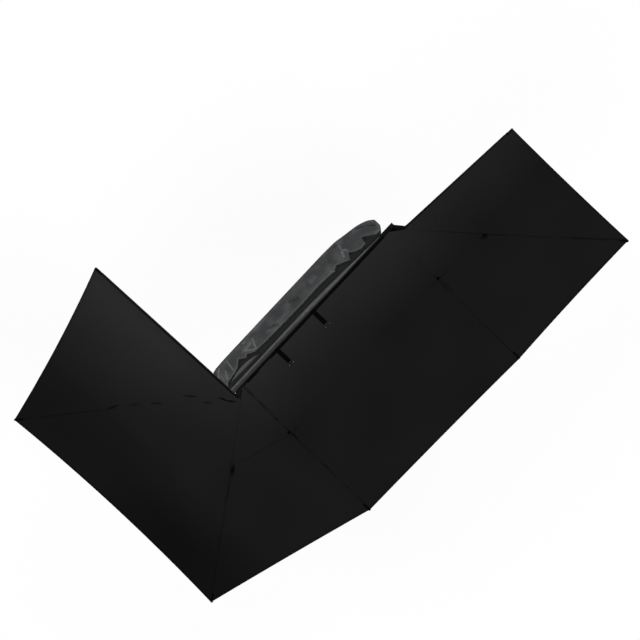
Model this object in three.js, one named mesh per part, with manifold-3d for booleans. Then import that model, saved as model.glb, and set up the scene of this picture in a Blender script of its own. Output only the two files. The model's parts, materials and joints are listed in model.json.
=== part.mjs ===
// Wing awning for the side of a vehicle: a beam on the roof rack carries two hubs, one at each end,
// and seven free-standing arms fan out from them under one black canopy of six panels.
// Millimetres. +X points to the front of the vehicle, -Y out to the side, +Z up.
// The origin is the middle of the face on which the middle bracket rests on the rack.
// The awning is modelled open. Every arm folds in against the beam about its own upright pin.
import * as THREE from "three";
import { mergeVertices } from "three/addons/utils/BufferGeometryUtils.js";
import Module from "manifold-3d";

const wasm = await Module();
wasm.setup();

// Clearances
const SEAT_GAP = 0.3; // between pieces that rest on or in each other
const RUNNING_GAP = 2; // between an arm and the lugs above and below it
const OVERRUN = 2; // how far a cut runs past the piece

// Beam: one aluminium extrusion
const BEAM_LENGTH = 2430;
const BEAM_DEPTH = 50;
const BEAM_WALL = 4;
const SLOT_MOUTH = 9; // bolt slots in the back
const SLOT_WIDTH = 15;
const SLOT_LIP = 3;
const SLOT_DEPTH = 9;
const KEDER_GROOVE = 9; // groove for the rope sewn in the canopy's edge
const KEDER_MOUTH = 4;
const KEDER_LIP = 2.5;
const KEDER_INSET = 6; // from the beam's outer face to the groove

// Arms: box tubes in two layers, so that the front fan folds under the rear one
const ARM_WIDTH = 28;
const ARM_HEIGHT = 36;
const ARM_WALL = 2;
const ARM_CORNER = 4;
const ARM_CORNER_SHARE = 1 / 3; // of the corner, where its curve comes nearest the true corner
const ARM_FLUTE = 1.2; // depth of the flute along each side
const ARM_FLUTE_WIDTH = 12;
const LANE = 32; // pitch of the folded arms
const FIRST_LANE = 16; // from the beam's face to the middle of the first folded arm

// Hubs
const LUG = 6; // thickness of a hub's lug
const HUB_PIN_SETBACK = 65; // from the beam's end to the hub pin, along the beam
const HUB_PIN_OUT = 86; // from the beam's face to the hub pin
const INNER_PIN_INSET = 75; // from the beam's end to the inner pin
const LUG_RIM = 4; // rim left round the pocket in a lug, and width of the ribs in it
const LUG_POCKET = 3; // depth of the pocket
const HUB_EYE = 24; // radius of a lug round the hub pin
const INNER_EYE = 20; // radius of a lug round the inner pin
const LUG_REACH = 118; // how far a lug lies along the beam
const LUG_ON_BEAM = 28; // how far it lies across the beam
const END_PLATE = 8; // plate over the beam's end
const END_PLATE_CORNER = 10;
const WEB_LENGTH = 45; // upright web between the lugs
const WEB_DEPTH = 25;

// Pins and their sleeves
const PIN = 7; // radius of the shank
const SLEEVE = 9.5; // outer radius of the nylon sleeve
const PIN_WASHER = 13; // radius of the washers at both ends
const PIN_WASHER_HEIGHT = 1.4;
const PIN_HEAD = 11; // from the middle to a corner of the hexagon
const PIN_HEAD_HEIGHT = 3.6;
const PIN_NUT_HEIGHT = 7;
const PIN_TAIL = 3; // thread past the nut
const PIN_CLEAR = 0.3;

// Knuckles: cast links from the pin to the tube
const KNUCKLE_EYE = 15;
const KNUCKLE_START = 50; // from the pin to the solid block
const KNUCKLE_POCKET = 4; // depth of the recess in its top and underside
const KNUCKLE_RIM = 6; // left round the recess
const TUBE_START = 105; // from the pin to the end of the tube
const PLUG_LENGTH = 60; // inside the tube
const LEAF_GAP = 1.2; // between the stacked leaves on a hub pin

// Caps at the arms' tips
const CAP_LENGTH = 52;
const CAP_SIDE_INSET = 0.5; // from the tube's side to the cap's
const CAP_TOP_INSET = 2; // from the tube's top to the cap's
const CAP_NOSE_DROP = 6; // how much lower the nose is, at its top and its underside
const NOSE_SHARES = [[1, 1], [0.6, 0.93], [0.3, 0.7], [0.08, 0.42], [0, 0.2]]; // back from the nose, and out
const CAP_WAIST = 3; // groove that the canopy's corner loop sits in
const CAP_WAIST_LENGTH = 14;
const CAP_FLANGE = 5;
const CAP_PLUG = 40;
const GUY_HOLE = 4; // radius of the hole for a guy line
const GUY_HOLE_BACK = 13; // from the nose to its middle

// Each arm's reach, from its pin to the end of its cap
const REACH_G = 2074;
const REACH_F = 2395.8;
const REACH_E = 2113.8;
const REACH_D = 1858.1;
const REACH_C = 1885.3;
const REACH_B = 2369.3;
const REACH_A = 1519.5;

// The angle in degrees that each arm opens from the beam, its lane when folded and its leaf on the hub pin
const ARMS = {
  g: { fan: "rear", reach: REACH_G, opening: 269.1, lane: 3, leaf: 2 },
  f: { fan: "rear", reach: REACH_F, opening: 222.7, lane: 2, leaf: 1 },
  e: { fan: "rear", reach: REACH_E, opening: 145.9, lane: 1, leaf: 0 },
  d: { fan: "rear", reach: REACH_D, opening: 90.7, lane: 0, leaf: null },
  c: { fan: "front", reach: REACH_C, opening: 89.1, lane: 0, leaf: null },
  b: { fan: "front", reach: REACH_B, opening: 130.8, lane: 1, leaf: 0 },
  a: { fan: "front", reach: REACH_A, opening: 175.8, lane: 2, leaf: 1 },
};

// Canopy
const CLOTH = 2.5; // thickness of a panel with its hems
const SEAM_GAP = 0.3; // between panels
const CANOPY_ROOT = 15; // underside at the beam, over the arms' top
const CLOTH_ON_ARM = 0.4; // underside at an arm's tip, over the arm
const SEAM_BEHIND_PIN = 50; // the panels run past the hub pins to here
const HEM_ON_ARM = 6; // how far the canopy's edge lies over the first and the last arm
const HUB_CUTOUT = 62; // how far the canopy's edge keeps outside the rear hub
const ROWS = 7;
const COLUMNS = 8;
const SAG = 26; // of a panel between its arms
// how far each outer edge is cut in, as a share of its length
const EDGE_BOW_SHARES = { fg: 0.016, ef: 0.016, de: 0.003, cd: 0.003, bc: 0.006, ab: 0.006 };

// Edge strip in the beam's groove
const KEDER_ROPE = 3.6; // radius
const KEDER_TAIL = 2.4; // thickness of its tail

// Travel cover, thrown back over the rack
const COVER_FRONT_INSET = 65; // from the beam's ends to the cover's
const COVER_REAR_INSET = 10;
const COVER_REACH = 335; // how far it lies back from the beam's face
const COVER_FRONT_REACH = 215; // the same at its front end
const COVER_SEAT = 32; // from the beam's face to its hem
const COVER_THICK = 6;
const COVER_CREST = 34; // height of its soft crown
const COVER_DIMPLE = 5; // depth of the dimples along the crown
const COVER_STATIONS = 31;
// across it, and over its seat as a share of the crown: hem, roll, groove, crown and far edge
const COVER_PROFILE_SHARES = [[0, 0.1], [0.02, 0.36], [0.06, 0.55], [0.1, 0.5], [0.14, 0.26], [0.18, 0.2],
  [0.23, 0.5], [0.32, 0.8], [0.45, 0.97], [0.58, 1], [0.72, 0.94], [0.86, 0.76], [0.95, 0.5], [0.985, 0.3], [1, 0.1]];
const COVER_TAPER_START_SHARE = 3 / 4; // of its length, where it starts to narrow
const COVER_LOW_SHARE = 1 / 3; // how much lower the crown is at the front
const COVER_END_SHARE = 0.04; // of its length, over which each end rounds off
const COVER_END_HEIGHT_SHARE = 0.45; // of the crown left at the very ends
const COVER_DIMPLE_COUNTS = [7, 11];

// Straps that close the cover, laid out over the canopy
const STRAP_WIDTH = 50;
const STRAP_THICK = 2;
const STRAP_REACH = 172;
const STRAP_LIE = 0.7; // how far it lies over the faceted cloth
const STRAP_FROM_END = 621; // from the beam's rear end to the middle of the first strap
const STRAP_PITCH = 558;
const BUCKLE_WIDTH = 62;
const BUCKLE_LENGTH = 34;
const BUCKLE_THICK = 6;
const BUCKLE_BAR = 6;

// Brackets that carry the beam on the rack
const BRACKET_PITCH = 800;
const BRACKET_WIDTH = 60;
const BRACKET_PLATE = 6;
const BRACKET_FOOT = 120;
const BRACKET_SLOT = 9;
const BRACKET_SLOT_LENGTH = 40;
const BRACKET_BEND = 8;
const BRACKET_RIB = 6; // thickness of the rib between its two legs
const BRACKET_RIB_FOOT = 70; // how far the rib runs along the foot
const BRACKET_RIB_SHARE = 0.8; // of the upright leg that it climbs
const BOLT = 4; // radius of a bracket bolt
const BOLT_HEAD = 6.6;
const BOLT_HEAD_HEIGHT = 4;
const BOLT_NUT = 7;
const BOLT_NUT_HEIGHT = 6.5;
const BOLT_PITCH = 30; // between a bracket's two bolts, along the beam

// Heights, over the top of the rear fan's arms
const LAYERS = { rear: 0, front: -(ARM_HEIGHT + 2 * RUNNING_GAP + LUG) };
const BEAM_TOP = RUNNING_GAP - SEAT_GAP;
const BEAM_BOTTOM = LAYERS.front - ARM_HEIGHT - RUNNING_GAP + SEAT_GAP;
const BEAM_HEIGHT = BEAM_TOP - BEAM_BOTTOM;
const CAP_WIDTH = ARM_WIDTH - 2 * CAP_SIDE_INSET;
const CAP_HEIGHT = ARM_HEIGHT - 2 * CAP_TOP_INSET;
const STRAP_PLACES = {
  rear: STRAP_FROM_END - BEAM_LENGTH / 2,
  front: STRAP_FROM_END + STRAP_PITCH - BEAM_LENGTH / 2,
};
const SIDES = { rear: 1, front: -1 }; // the way that a fan's arms fold, along X
const HUB_X = BEAM_LENGTH / 2 + HUB_PIN_SETBACK;
const INNER_X = BEAM_LENGTH / 2 - INNER_PIN_INSET;

// Materials, as the photograph shows them
const blackCoat = new THREE.MeshStandardMaterial({ color: 0x0b0b0c, roughness: 0.45, metalness: 0.6 });
const castBlack = new THREE.MeshStandardMaterial({ color: 0x0a0a0a, roughness: 0.6, metalness: 0.4 });
const steel = new THREE.MeshStandardMaterial({ color: 0x8d8f92, roughness: 0.35, metalness: 1 });
const nylon = new THREE.MeshStandardMaterial({ color: 0x101010, roughness: 0.6, metalness: 0 });
const whiteNylon = new THREE.MeshStandardMaterial({ color: 0xd8d8d2, roughness: 0.5, metalness: 0 });
const canopyCloth = new THREE.MeshStandardMaterial({ color: 0x191919, roughness: 0.9, metalness: 0 });
const coatedCloth = new THREE.MeshStandardMaterial({ color: 0x3a3b3d, roughness: 0.4, metalness: 0 });
const webbing = new THREE.MeshStandardMaterial({ color: 0x080808, roughness: 0.85, metalness: 0 });

// Solids

function solid(geometry) {
  const bare = geometry.clone();
  bare.deleteAttribute("normal");
  bare.deleteAttribute("uv");
  const merged = mergeVertices(bare, 1e-4);
  return new wasm.Manifold(
    new wasm.Mesh({
      numProp: 3,
      vertProperties: merged.attributes.position.array,
      triVerts: new Uint32Array(merged.index.array),
    }),
  );
}

function geometryOf(body) {
  const mesh = body.getMesh();
  const geometry = new THREE.BufferGeometry();
  geometry.setAttribute("position", new THREE.BufferAttribute(mesh.vertProperties, mesh.numProp));
  geometry.setIndex(new THREE.BufferAttribute(mesh.triVerts, 1));
  geometry.computeVertexNormals();
  return geometry;
}

function outline(points) {
  return new THREE.Shape(points.map(([x, y]) => new THREE.Vector2(x, y)));
}

function upright(shape, low, high) {
  const depth = high - low;
  const block = new THREE.ExtrudeGeometry(shape, { depth, bevelEnabled: false, curveSegments: 6 });
  return block.translate(0, 0, low);
}

// A section drawn in Y and Z, drawn out along X.
function lengthwise(shape, from, to) {
  const turn = new THREE.Matrix4().makeBasis(
    new THREE.Vector3(0, 1, 0),
    new THREE.Vector3(0, 0, 1),
    new THREE.Vector3(1, 0, 0),
  );
  return upright(shape, from, to).applyMatrix4(turn);
}

// A profile drawn in X and Z, drawn out along Y.
function sideways(shape, from, to) {
  const turn = new THREE.Matrix4().makeBasis(
    new THREE.Vector3(1, 0, 0),
    new THREE.Vector3(0, 0, 1),
    new THREE.Vector3(0, -1, 0),
  );
  return upright(shape, -to, -from).applyMatrix4(turn);
}

function block(x0, x1, y0, y1, z0, z1) {
  const box = new THREE.BoxGeometry(x1 - x0, y1 - y0, z1 - z0);
  return box.translate((x0 + x1) / 2, (y0 + y1) / 2, (z0 + z1) / 2);
}

function cylinder(x, y, radius, low, high, sides = 20) {
  const round = new THREE.CylinderGeometry(radius, radius, high - low, sides);
  return round.rotateX(Math.PI / 2).translate(x, y, (low + high) / 2);
}

function circle(x, y, radius, sides = 24) {
  return Array.from({ length: sides }, (_, i) => {
    const turn = (i / sides) * 2 * Math.PI;
    return [x + radius * Math.cos(turn), y + radius * Math.sin(turn)];
  });
}

// The outline that a string pulled round all the points would take.
function stretched(points) {
  const sorted = [...points].sort((p, q) => p[0] - q[0] || p[1] - q[1]);
  const half = (list) => {
    const kept = [];
    for (const p of list) {
      while (kept.length > 1) {
        const [o, a] = kept.slice(-2);
        if ((a[0] - o[0]) * (p[1] - o[1]) - (a[1] - o[1]) * (p[0] - o[0]) > 0) break;
        kept.pop();
      }
      kept.push(p);
    }
    return kept.slice(0, -1);
  };
  return outline([...half(sorted), ...half(sorted.reverse())]);
}

function roundedBox(x0, x1, y0, y1, radius) {
  return stretched([
    ...circle(x0 + radius, y0 + radius, radius),
    ...circle(x1 - radius, y0 + radius, radius),
    ...circle(x0 + radius, y1 - radius, radius),
    ...circle(x1 - radius, y1 - radius, radius),
  ]);
}

function mesh(name, geometry, material) {
  const made = new THREE.Mesh(geometry, material);
  made.name = name;
  return made;
}

// Beam

function beamSection() {
  const inner = BEAM_DEPTH;
  const top = BEAM_TOP;
  const bottom = BEAM_BOTTOM;
  const grooveFloor = top - KEDER_LIP - KEDER_GROOVE;
  const mouthStart = KEDER_INSET + (KEDER_GROOVE - KEDER_MOUTH) / 2;
  const section = outline([
    [0, bottom],
    [inner, bottom],
    ...boltSlot(bottom + BEAM_HEIGHT / 4),
    ...boltSlot(top - BEAM_HEIGHT / 4),
    [inner, top],
    [mouthStart + KEDER_MOUTH, top],
    [mouthStart + KEDER_MOUTH, top - KEDER_LIP],
    [KEDER_INSET + KEDER_GROOVE, top - KEDER_LIP],
    [KEDER_INSET + KEDER_GROOVE, grooveFloor],
    [KEDER_INSET, grooveFloor],
    [KEDER_INSET, top - KEDER_LIP],
    [mouthStart, top - KEDER_LIP],
    [mouthStart, top],
    [0, top],
  ]);
  const hollow = [
    [BEAM_WALL, bottom + BEAM_WALL],
    [inner - SLOT_LIP - SLOT_DEPTH - BEAM_WALL, bottom + BEAM_WALL],
    [inner - SLOT_LIP - SLOT_DEPTH - BEAM_WALL, grooveFloor - BEAM_WALL],
    [BEAM_WALL, grooveFloor - BEAM_WALL],
  ];
  section.holes.push(new THREE.Path(hollow.map(([y, z]) => new THREE.Vector2(y, z))));
  return section;
}

// A slot in the beam's back, from its lower lip to its upper one.
function boltSlot(middle) {
  const face = BEAM_DEPTH;
  const lip = face - SLOT_LIP;
  const floor = lip - SLOT_DEPTH;
  return [
    [face, middle - SLOT_MOUTH / 2],
    [lip, middle - SLOT_MOUTH / 2],
    [lip, middle - SLOT_WIDTH / 2],
    [floor, middle - SLOT_WIDTH / 2],
    [floor, middle + SLOT_WIDTH / 2],
    [lip, middle + SLOT_WIDTH / 2],
    [lip, middle + SLOT_MOUTH / 2],
    [face, middle + SLOT_MOUTH / 2],
  ];
}

function beam() {
  return mesh("backing_beam", lengthwise(beamSection(), -BEAM_LENGTH / 2, BEAM_LENGTH / 2), blackCoat);
}

// Hubs: a casting over each end of the beam, with a lug over and a lug under its fan's arms

function pinPlaces(fan) {
  const side = SIDES[fan];
  return {
    hub: [-side * HUB_X, -HUB_PIN_OUT],
    inner: [-side * INNER_X, -FIRST_LANE],
  };
}

function lugHeights(fan) {
  const underArms = LAYERS[fan] - ARM_HEIGHT - RUNNING_GAP;
  return {
    upper: [LAYERS[fan] + RUNNING_GAP, LAYERS[fan] + RUNNING_GAP + LUG],
    lower: [underArms - LUG, underArms],
  };
}

function hubEnd(side) {
  return -side * (BEAM_LENGTH / 2 + SEAT_GAP);
}

// A lug's outline, or the same outline drawn in by an inset.
function lugPlan(fan, inset) {
  const side = SIDES[fan];
  const pins = pinPlaces(fan);
  const outerEnd = hubEnd(side) - side * END_PLATE;
  return stretched([
    ...circle(...pins.hub, HUB_EYE - inset),
    ...circle(...pins.inner, INNER_EYE - inset),
    [outerEnd + side * inset, LUG_ON_BEAM - inset],
    [outerEnd + side * (LUG_REACH - inset), LUG_ON_BEAM - inset],
    [outerEnd + side * (LUG_REACH - inset), -SEAT_GAP],
  ]);
}

// The pocket in a lug's outer face, with a boss round each pin and a rib from the hub pin to each other corner.
function lugPocket(fan, low, high) {
  const side = SIDES[fan];
  const pins = pinPlaces(fan);
  const corner = [hubEnd(side), LUG_ON_BEAM];
  let room = solid(upright(lugPlan(fan, LUG_RIM), low, high));
  for (const place of Object.values(pins))
    room = room.subtract(
      solid(cylinder(...place, PIN_WASHER + LUG_RIM / 2, low - OVERRUN, high + OVERRUN)),
    );
  for (const target of [pins.inner, corner]) {
    const rib = stretched([
      ...circle(...pins.hub, LUG_RIM / 2, 8),
      ...circle(...target, LUG_RIM / 2, 8),
    ]);
    room = room.subtract(solid(upright(rib, low - OVERRUN, high + OVERRUN)));
  }
  return room;
}

// The plate over the beam's end, with a pocket and a rib across it.
function endPlate(side, low, high) {
  const end = hubEnd(side);
  const outerEnd = end - side * END_PLATE;
  const sorted = (p, q) => [Math.min(p, q), Math.max(p, q)];
  const plan = roundedBox(-WEB_DEPTH, BEAM_DEPTH, low, high, END_PLATE_CORNER);
  const inner = roundedBox(
    LUG_RIM - WEB_DEPTH,
    BEAM_DEPTH - LUG_RIM,
    low + LUG_RIM,
    high - LUG_RIM,
    END_PLATE_CORNER - LUG_RIM,
  );
  const room = solid(lengthwise(inner, ...sorted(outerEnd - side * OVERRUN, outerEnd + side * LUG_POCKET)));
  const middle = (low + high) / 2;
  const rib = block(
    ...sorted(outerEnd - side * END_PLATE, end),
    -WEB_DEPTH,
    BEAM_DEPTH,
    middle - LUG_RIM / 2,
    middle + LUG_RIM / 2,
  );
  return solid(lengthwise(plan, ...sorted(end, outerEnd))).subtract(room.subtract(solid(rib)));
}

function hub(fan) {
  const side = SIDES[fan];
  const pins = pinPlaces(fan);
  const { upper, lower } = lugHeights(fan);
  const end = hubEnd(side);
  const outerEnd = end - side * END_PLATE;
  const webEnd = outerEnd + side * WEB_LENGTH;
  const web = block(
    Math.min(outerEnd, webEnd),
    Math.max(outerEnd, webEnd),
    -WEB_DEPTH,
    -SEAT_GAP,
    lower[0],
    upper[1],
  );
  const beamRoom = block(
    ...(side > 0 ? [end, end + BEAM_LENGTH] : [end - BEAM_LENGTH, end]),
    -SEAT_GAP,
    BEAM_DEPTH + SEAT_GAP,
    BEAM_BOTTOM - SEAT_GAP,
    BEAM_TOP + SEAT_GAP,
  );
  const plan = lugPlan(fan, 0);
  let casting = solid(upright(plan, ...upper))
    .add(solid(upright(plan, ...lower)))
    .add(solid(web))
    .add(endPlate(side, Math.min(BEAM_BOTTOM, lower[0]), Math.max(BEAM_TOP, upper[1])))
    .subtract(lugPocket(fan, upper[1] - LUG_POCKET, upper[1] + OVERRUN))
    .subtract(lugPocket(fan, lower[0] - OVERRUN, lower[0] + LUG_POCKET))
    .subtract(solid(beamRoom));
  for (const place of Object.values(pins))
    casting = casting.subtract(
      solid(cylinder(...place, PIN + PIN_CLEAR, lower[0] - OVERRUN, upper[1] + OVERRUN)),
    );
  return mesh(`${fan}_hub`, geometryOf(casting), castBlack);
}

function turned(profile, sides = 20) {
  const points = profile.map(([r, z]) => new THREE.Vector2(r, z));
  return new THREE.LatheGeometry(points, sides).rotateX(Math.PI / 2);
}

// A bolt with a washer under its hexagon head and another over its nut.
function pin(fan, kind) {
  const { upper, lower } = lugHeights(fan);
  const top = upper[1] + SEAT_GAP;
  const foot = lower[0] - SEAT_GAP;
  const underHead = top + PIN_WASHER_HEIGHT;
  const overNut = foot - PIN_WASHER_HEIGHT;
  const tail = overNut - PIN_NUT_HEIGHT - PIN_TAIL;
  const profile = [
    [0, tail],
    [PIN, tail],
    [PIN, overNut],
    [PIN_WASHER, overNut],
    [PIN_WASHER, foot],
    [PIN, foot],
    [PIN, top],
    [PIN_WASHER, top],
    [PIN_WASHER, underHead],
    [0, underHead],
  ];
  const body = solid(turned(profile))
    .add(solid(cylinder(0, 0, PIN_HEAD, underHead, underHead + PIN_HEAD_HEIGHT, 6)))
    .add(solid(cylinder(0, 0, PIN_HEAD, overNut - PIN_NUT_HEIGHT, overNut, 6)));
  const made = mesh(`${fan}_${kind}_pin`, geometryOf(body), steel);
  made.position.set(...pinPlaces(fan)[kind], 0);
  return made;
}

function sleeve(fan, kind) {
  const { upper, lower } = lugHeights(fan);
  const low = lower[1] + SEAT_GAP;
  const high = upper[0] - SEAT_GAP;
  const bore = PIN + PIN_CLEAR;
  const profile = [[bore, low], [SLEEVE, low], [SLEEVE, high], [bore, high], [bore, low]];
  const made = mesh(`${fan}_${kind}_sleeve`, turned(profile), whiteNylon);
  made.position.set(...pinPlaces(fan)[kind], 0);
  return made;
}

// Arms

function armSection() {
  const w = ARM_WIDTH / 2;
  const h = ARM_HEIGHT / 2;
  const c = ARM_CORNER;
  const groove = ARM_FLUTE_WIDTH / 2;
  const quarter = [
    [w - c, -h],
    [w - c * ARM_CORNER_SHARE, -h + c * ARM_CORNER_SHARE],
    [w, -h + c],
    [w, -groove],
    [w - ARM_FLUTE, -groove + ARM_FLUTE],
  ];
  const right = [...quarter, ...quarter.map(([y, z]) => [y, -z]).reverse()];
  return [...right, ...right.map(([y, z]) => [-y, -z])];
}

function leafHeights(arm) {
  const count = arm.leaf === null ? 1 : Object.values(ARMS).filter((a) => a.fan === arm.fan && a.leaf !== null).length;
  const each = (ARM_HEIGHT - LEAF_GAP * (count - 1)) / count;
  const top = LAYERS[arm.fan] - (arm.leaf ?? 0) * (each + LEAF_GAP);
  return [top - each, top];
}

// How far an arm's tube lies beside its pin, along the arm's own Y.
function sideStep(arm) {
  const lane = FIRST_LANE + arm.lane * LANE;
  const pinOut = arm.leaf === null ? FIRST_LANE : HUB_PIN_OUT;
  return -SIDES[arm.fan] * (lane - pinOut);
}

function knuckle(name, arm) {
  const step = sideStep(arm);
  const top = LAYERS[arm.fan];
  const half = ARM_WIDTH / 2;
  const [low, high] = leafHeights(arm);
  const inside = ARM_WALL + SEAT_GAP + ARM_FLUTE;
  const leaf = stretched([
    ...circle(0, 0, KNUCKLE_EYE, 20),
    [KNUCKLE_START, step - half],
    [KNUCKLE_START, step + half],
  ]);
  const shoulder = outline(
    armSection().map(([y, z]) => [y + step, z + top - ARM_HEIGHT / 2]),
  );
  const plug = block(
    TUBE_START - OVERRUN,
    TUBE_START + PLUG_LENGTH,
    step - half + inside,
    step + half - inside,
    top - ARM_HEIGHT + inside,
    top - inside,
  );
  const recess = (from, to) =>
    solid(
      block(
        KNUCKLE_START + KNUCKLE_RIM,
        TUBE_START - 2 * KNUCKLE_RIM,
        step - half + KNUCKLE_RIM,
        step + half - KNUCKLE_RIM,
        from,
        to,
      ),
    );
  const body = solid(upright(leaf, low, high))
    .add(solid(lengthwise(shoulder, KNUCKLE_START, TUBE_START - SEAT_GAP)))
    .add(solid(plug))
    .subtract(recess(top - KNUCKLE_POCKET, top + OVERRUN))
    .subtract(recess(top - ARM_HEIGHT - OVERRUN, top - ARM_HEIGHT + KNUCKLE_POCKET))
    .subtract(solid(cylinder(0, 0, SLEEVE + PIN_CLEAR, low - OVERRUN, high + OVERRUN)));
  return mesh(`arm_${name}_knuckle`, geometryOf(body), castBlack);
}

function tubeEnd(arm) {
  return arm.reach - CAP_LENGTH;
}

function tube(name, arm) {
  const step = sideStep(arm);
  const middle = LAYERS[arm.fan] - ARM_HEIGHT / 2;
  const section = outline(armSection().map(([y, z]) => [y + step, z + middle]));
  const w = ARM_WIDTH / 2 - ARM_WALL - ARM_FLUTE;
  const h = ARM_HEIGHT / 2 - ARM_WALL;
  const bore = [[-w, -h], [w, -h], [w, h], [-w, h]];
  section.holes.push(new THREE.Path(bore.map(([y, z]) => new THREE.Vector2(y + step, z + middle))));
  return mesh(`arm_${name}_tube`, lengthwise(section, TUBE_START, tubeEnd(arm)), blackCoat);
}

function cap(name, arm) {
  const step = sideStep(arm);
  const middle = LAYERS[arm.fan] - ARM_HEIGHT / 2;
  const start = tubeEnd(arm) + SEAT_GAP;
  const nose = arm.reach;
  const w = CAP_WIDTH / 2;
  const inside = ARM_WALL + SEAT_GAP + ARM_FLUTE;
  const waistFrom = start + CAP_FLANGE;
  const waistTo = waistFrom + CAP_WAIST_LENGTH;
  const plan = (side) => [
    [start, side * w],
    [waistFrom, side * w],
    [waistFrom + CAP_WAIST, side * (w - CAP_WAIST)],
    [waistTo - CAP_WAIST, side * (w - CAP_WAIST)],
    [waistTo, side * w],
    ...NOSE_SHARES.map(([back, out]) => [nose - w * back, side * w * out]),
  ];
  const shape = outline([...plan(-1), ...plan(1).reverse()].map(([x, y]) => [x, y + step]));
  const plug = block(
    tubeEnd(arm) - CAP_PLUG,
    start + CAP_FLANGE,
    step - ARM_WIDTH / 2 + inside,
    step + ARM_WIDTH / 2 - inside,
    middle - ARM_HEIGHT / 2 + inside,
    middle + ARM_HEIGHT / 2 - inside,
  );
  const high = CAP_HEIGHT / 2;
  const profile = outline([
    [start, middle - high],
    [nose - CAP_WIDTH, middle - high],
    [nose, middle - high + CAP_NOSE_DROP],
    [nose, middle + high - CAP_NOSE_DROP],
    [nose - CAP_WIDTH, middle + high],
    [start, middle + high],
  ]);
  const hole = cylinder(nose - GUY_HOLE_BACK, step, GUY_HOLE, middle - ARM_HEIGHT, middle + ARM_HEIGHT, 14);
  const body = solid(upright(shape, middle - high, middle + high))
    .intersect(solid(sideways(profile, step - w - OVERRUN, step + w + OVERRUN)))
    .add(solid(plug))
    .subtract(solid(hole));
  return mesh(`arm_${name}_cap`, geometryOf(body), nylon);
}

function pinOf(arm) {
  return pinPlaces(arm.fan)[arm.leaf === null ? "inner" : "hub"];
}

// The way that an open arm points, as an angle from +X.
function heading(arm) {
  const folded = arm.fan === "rear" ? 0 : Math.PI;
  return folded - SIDES[arm.fan] * THREE.MathUtils.degToRad(arm.opening);
}

function armGroup(name) {
  const arm = ARMS[name];
  const group = new THREE.Group();
  group.add(knuckle(name, arm), tube(name, arm), cap(name, arm));
  group.position.set(...pinOf(arm), 0);
  group.rotation.z = heading(arm);
  return group;
}

// A point beside an open arm: along it from its pin, and out from its middle line on the fan's outer side.
function onArm(name, along, out, z) {
  const arm = ARMS[name];
  const point = new THREE.Vector3(along, sideStep(arm) - SIDES[arm.fan] * out, z);
  point.applyAxisAngle(new THREE.Vector3(0, 0, 1), heading(arm));
  const [x, y] = pinOf(arm);
  return point.add(new THREE.Vector3(x, y, 0));
}

// Canopy

// Where a panel's seam starts by the hub and ends at the arm's tip, on the cloth's underside.
function seam(name) {
  const arm = ARMS[name];
  const tipZ = LAYERS[arm.fan] + CLOTH_ON_ARM;
  const beside = ARM_WIDTH / 2 - HEM_ON_ARM;
  const tip = (out) => onArm(name, tubeEnd(arm) + CAP_FLANGE, out, tipZ);
  const side = SIDES[arm.fan];
  const starts = {
    a: () => onArm("a", HUB_CUTOUT * 2, -beside, CANOPY_ROOT),
    b: () => onArm("b", -SEAM_BEHIND_PIN / 2, 0, CANOPY_ROOT),
    c: () => new THREE.Vector3(-side * INNER_X, -KEDER_INSET, CANOPY_ROOT),
    d: () => new THREE.Vector3(-side * INNER_X, -KEDER_INSET, CANOPY_ROOT),
    e: () => onArm("e", -SEAM_BEHIND_PIN, 0, CANOPY_ROOT),
    f: () => new THREE.Vector3(-side * (HUB_X + HUB_EYE), HUB_CUTOUT - HUB_PIN_OUT, CANOPY_ROOT),
    g: () => onArm("g", HUB_PIN_OUT + WEB_LENGTH, -beside, CANOPY_ROOT),
  };
  const outer = name === "a" || name === "g" ? -beside : 0;
  return [starts[name](), tip(outer)];
}

function panel(first, second) {
  const name = first + second;
  const [startA, tipA] = seam(first);
  const [startB, tipB] = seam(second);
  const chord = tipB.clone().sub(tipA);
  const bow = chord.length() * EDGE_BOW_SHARES[name];
  const middle = startA.clone().add(startB).multiplyScalar(1 / 2);
  const inward = middle.clone().sub(tipA.clone().add(tipB).multiplyScalar(1 / 2)).setZ(0).normalize();
  const trim = SEAM_GAP / 2;
  const at = (s, t) => {
    const left = startA.clone().lerp(tipA, t);
    const right = startB.clone().lerp(tipB, t);
    const width = left.distanceTo(right);
    const inset = Math.min(trim / width, 1 / 4);
    const share = inset + s * (1 - 2 * inset);
    const dip = 4 * share * (1 - share);
    const point = left.lerp(right, share);
    point.addScaledVector(inward, bow * dip * t * t);
    point.z -= SAG * dip * t * (1 - t);
    return point;
  };
  return mesh(`canopy_panel_${name}`, sheet(at, ROWS, COLUMNS, CLOTH), canopyCloth);
}

// A closed sheet over a grid of points, thickened upwards.
function sheet(at, rows, columns, thickness) {
  const points = [];
  for (const lift of [0, thickness])
    for (let j = 0; j <= rows; j++)
      for (let i = 0; i <= columns; i++) {
        const p = at(i / columns, j / rows);
        points.push(p.x, p.y, p.z + lift);
      }
  const across = columns + 1;
  const layer = across * (rows + 1);
  const faces = [];
  const quad = (a, b, c, d) => faces.push(a, b, c, a, c, d);
  for (let j = 0; j < rows; j++)
    for (let i = 0; i < columns; i++) {
      const k = j * across + i;
      quad(k, k + 1, k + across + 1, k + across);
      quad(layer + k, layer + k + across, layer + k + across + 1, layer + k + 1);
    }
  const wall = (list) => {
    for (let n = 0; n + 1 < list.length; n++)
      quad(list[n], list[n] + layer, list[n + 1] + layer, list[n + 1]);
  };
  const row = (j) => Array.from({ length: across }, (_, i) => j * across + i);
  const column = (i) => Array.from({ length: rows + 1 }, (_, j) => j * across + i);
  wall(row(0));
  wall(row(rows).reverse());
  wall(column(0).reverse());
  wall(column(columns));
  return facingOut(points, faces);
}

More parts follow.
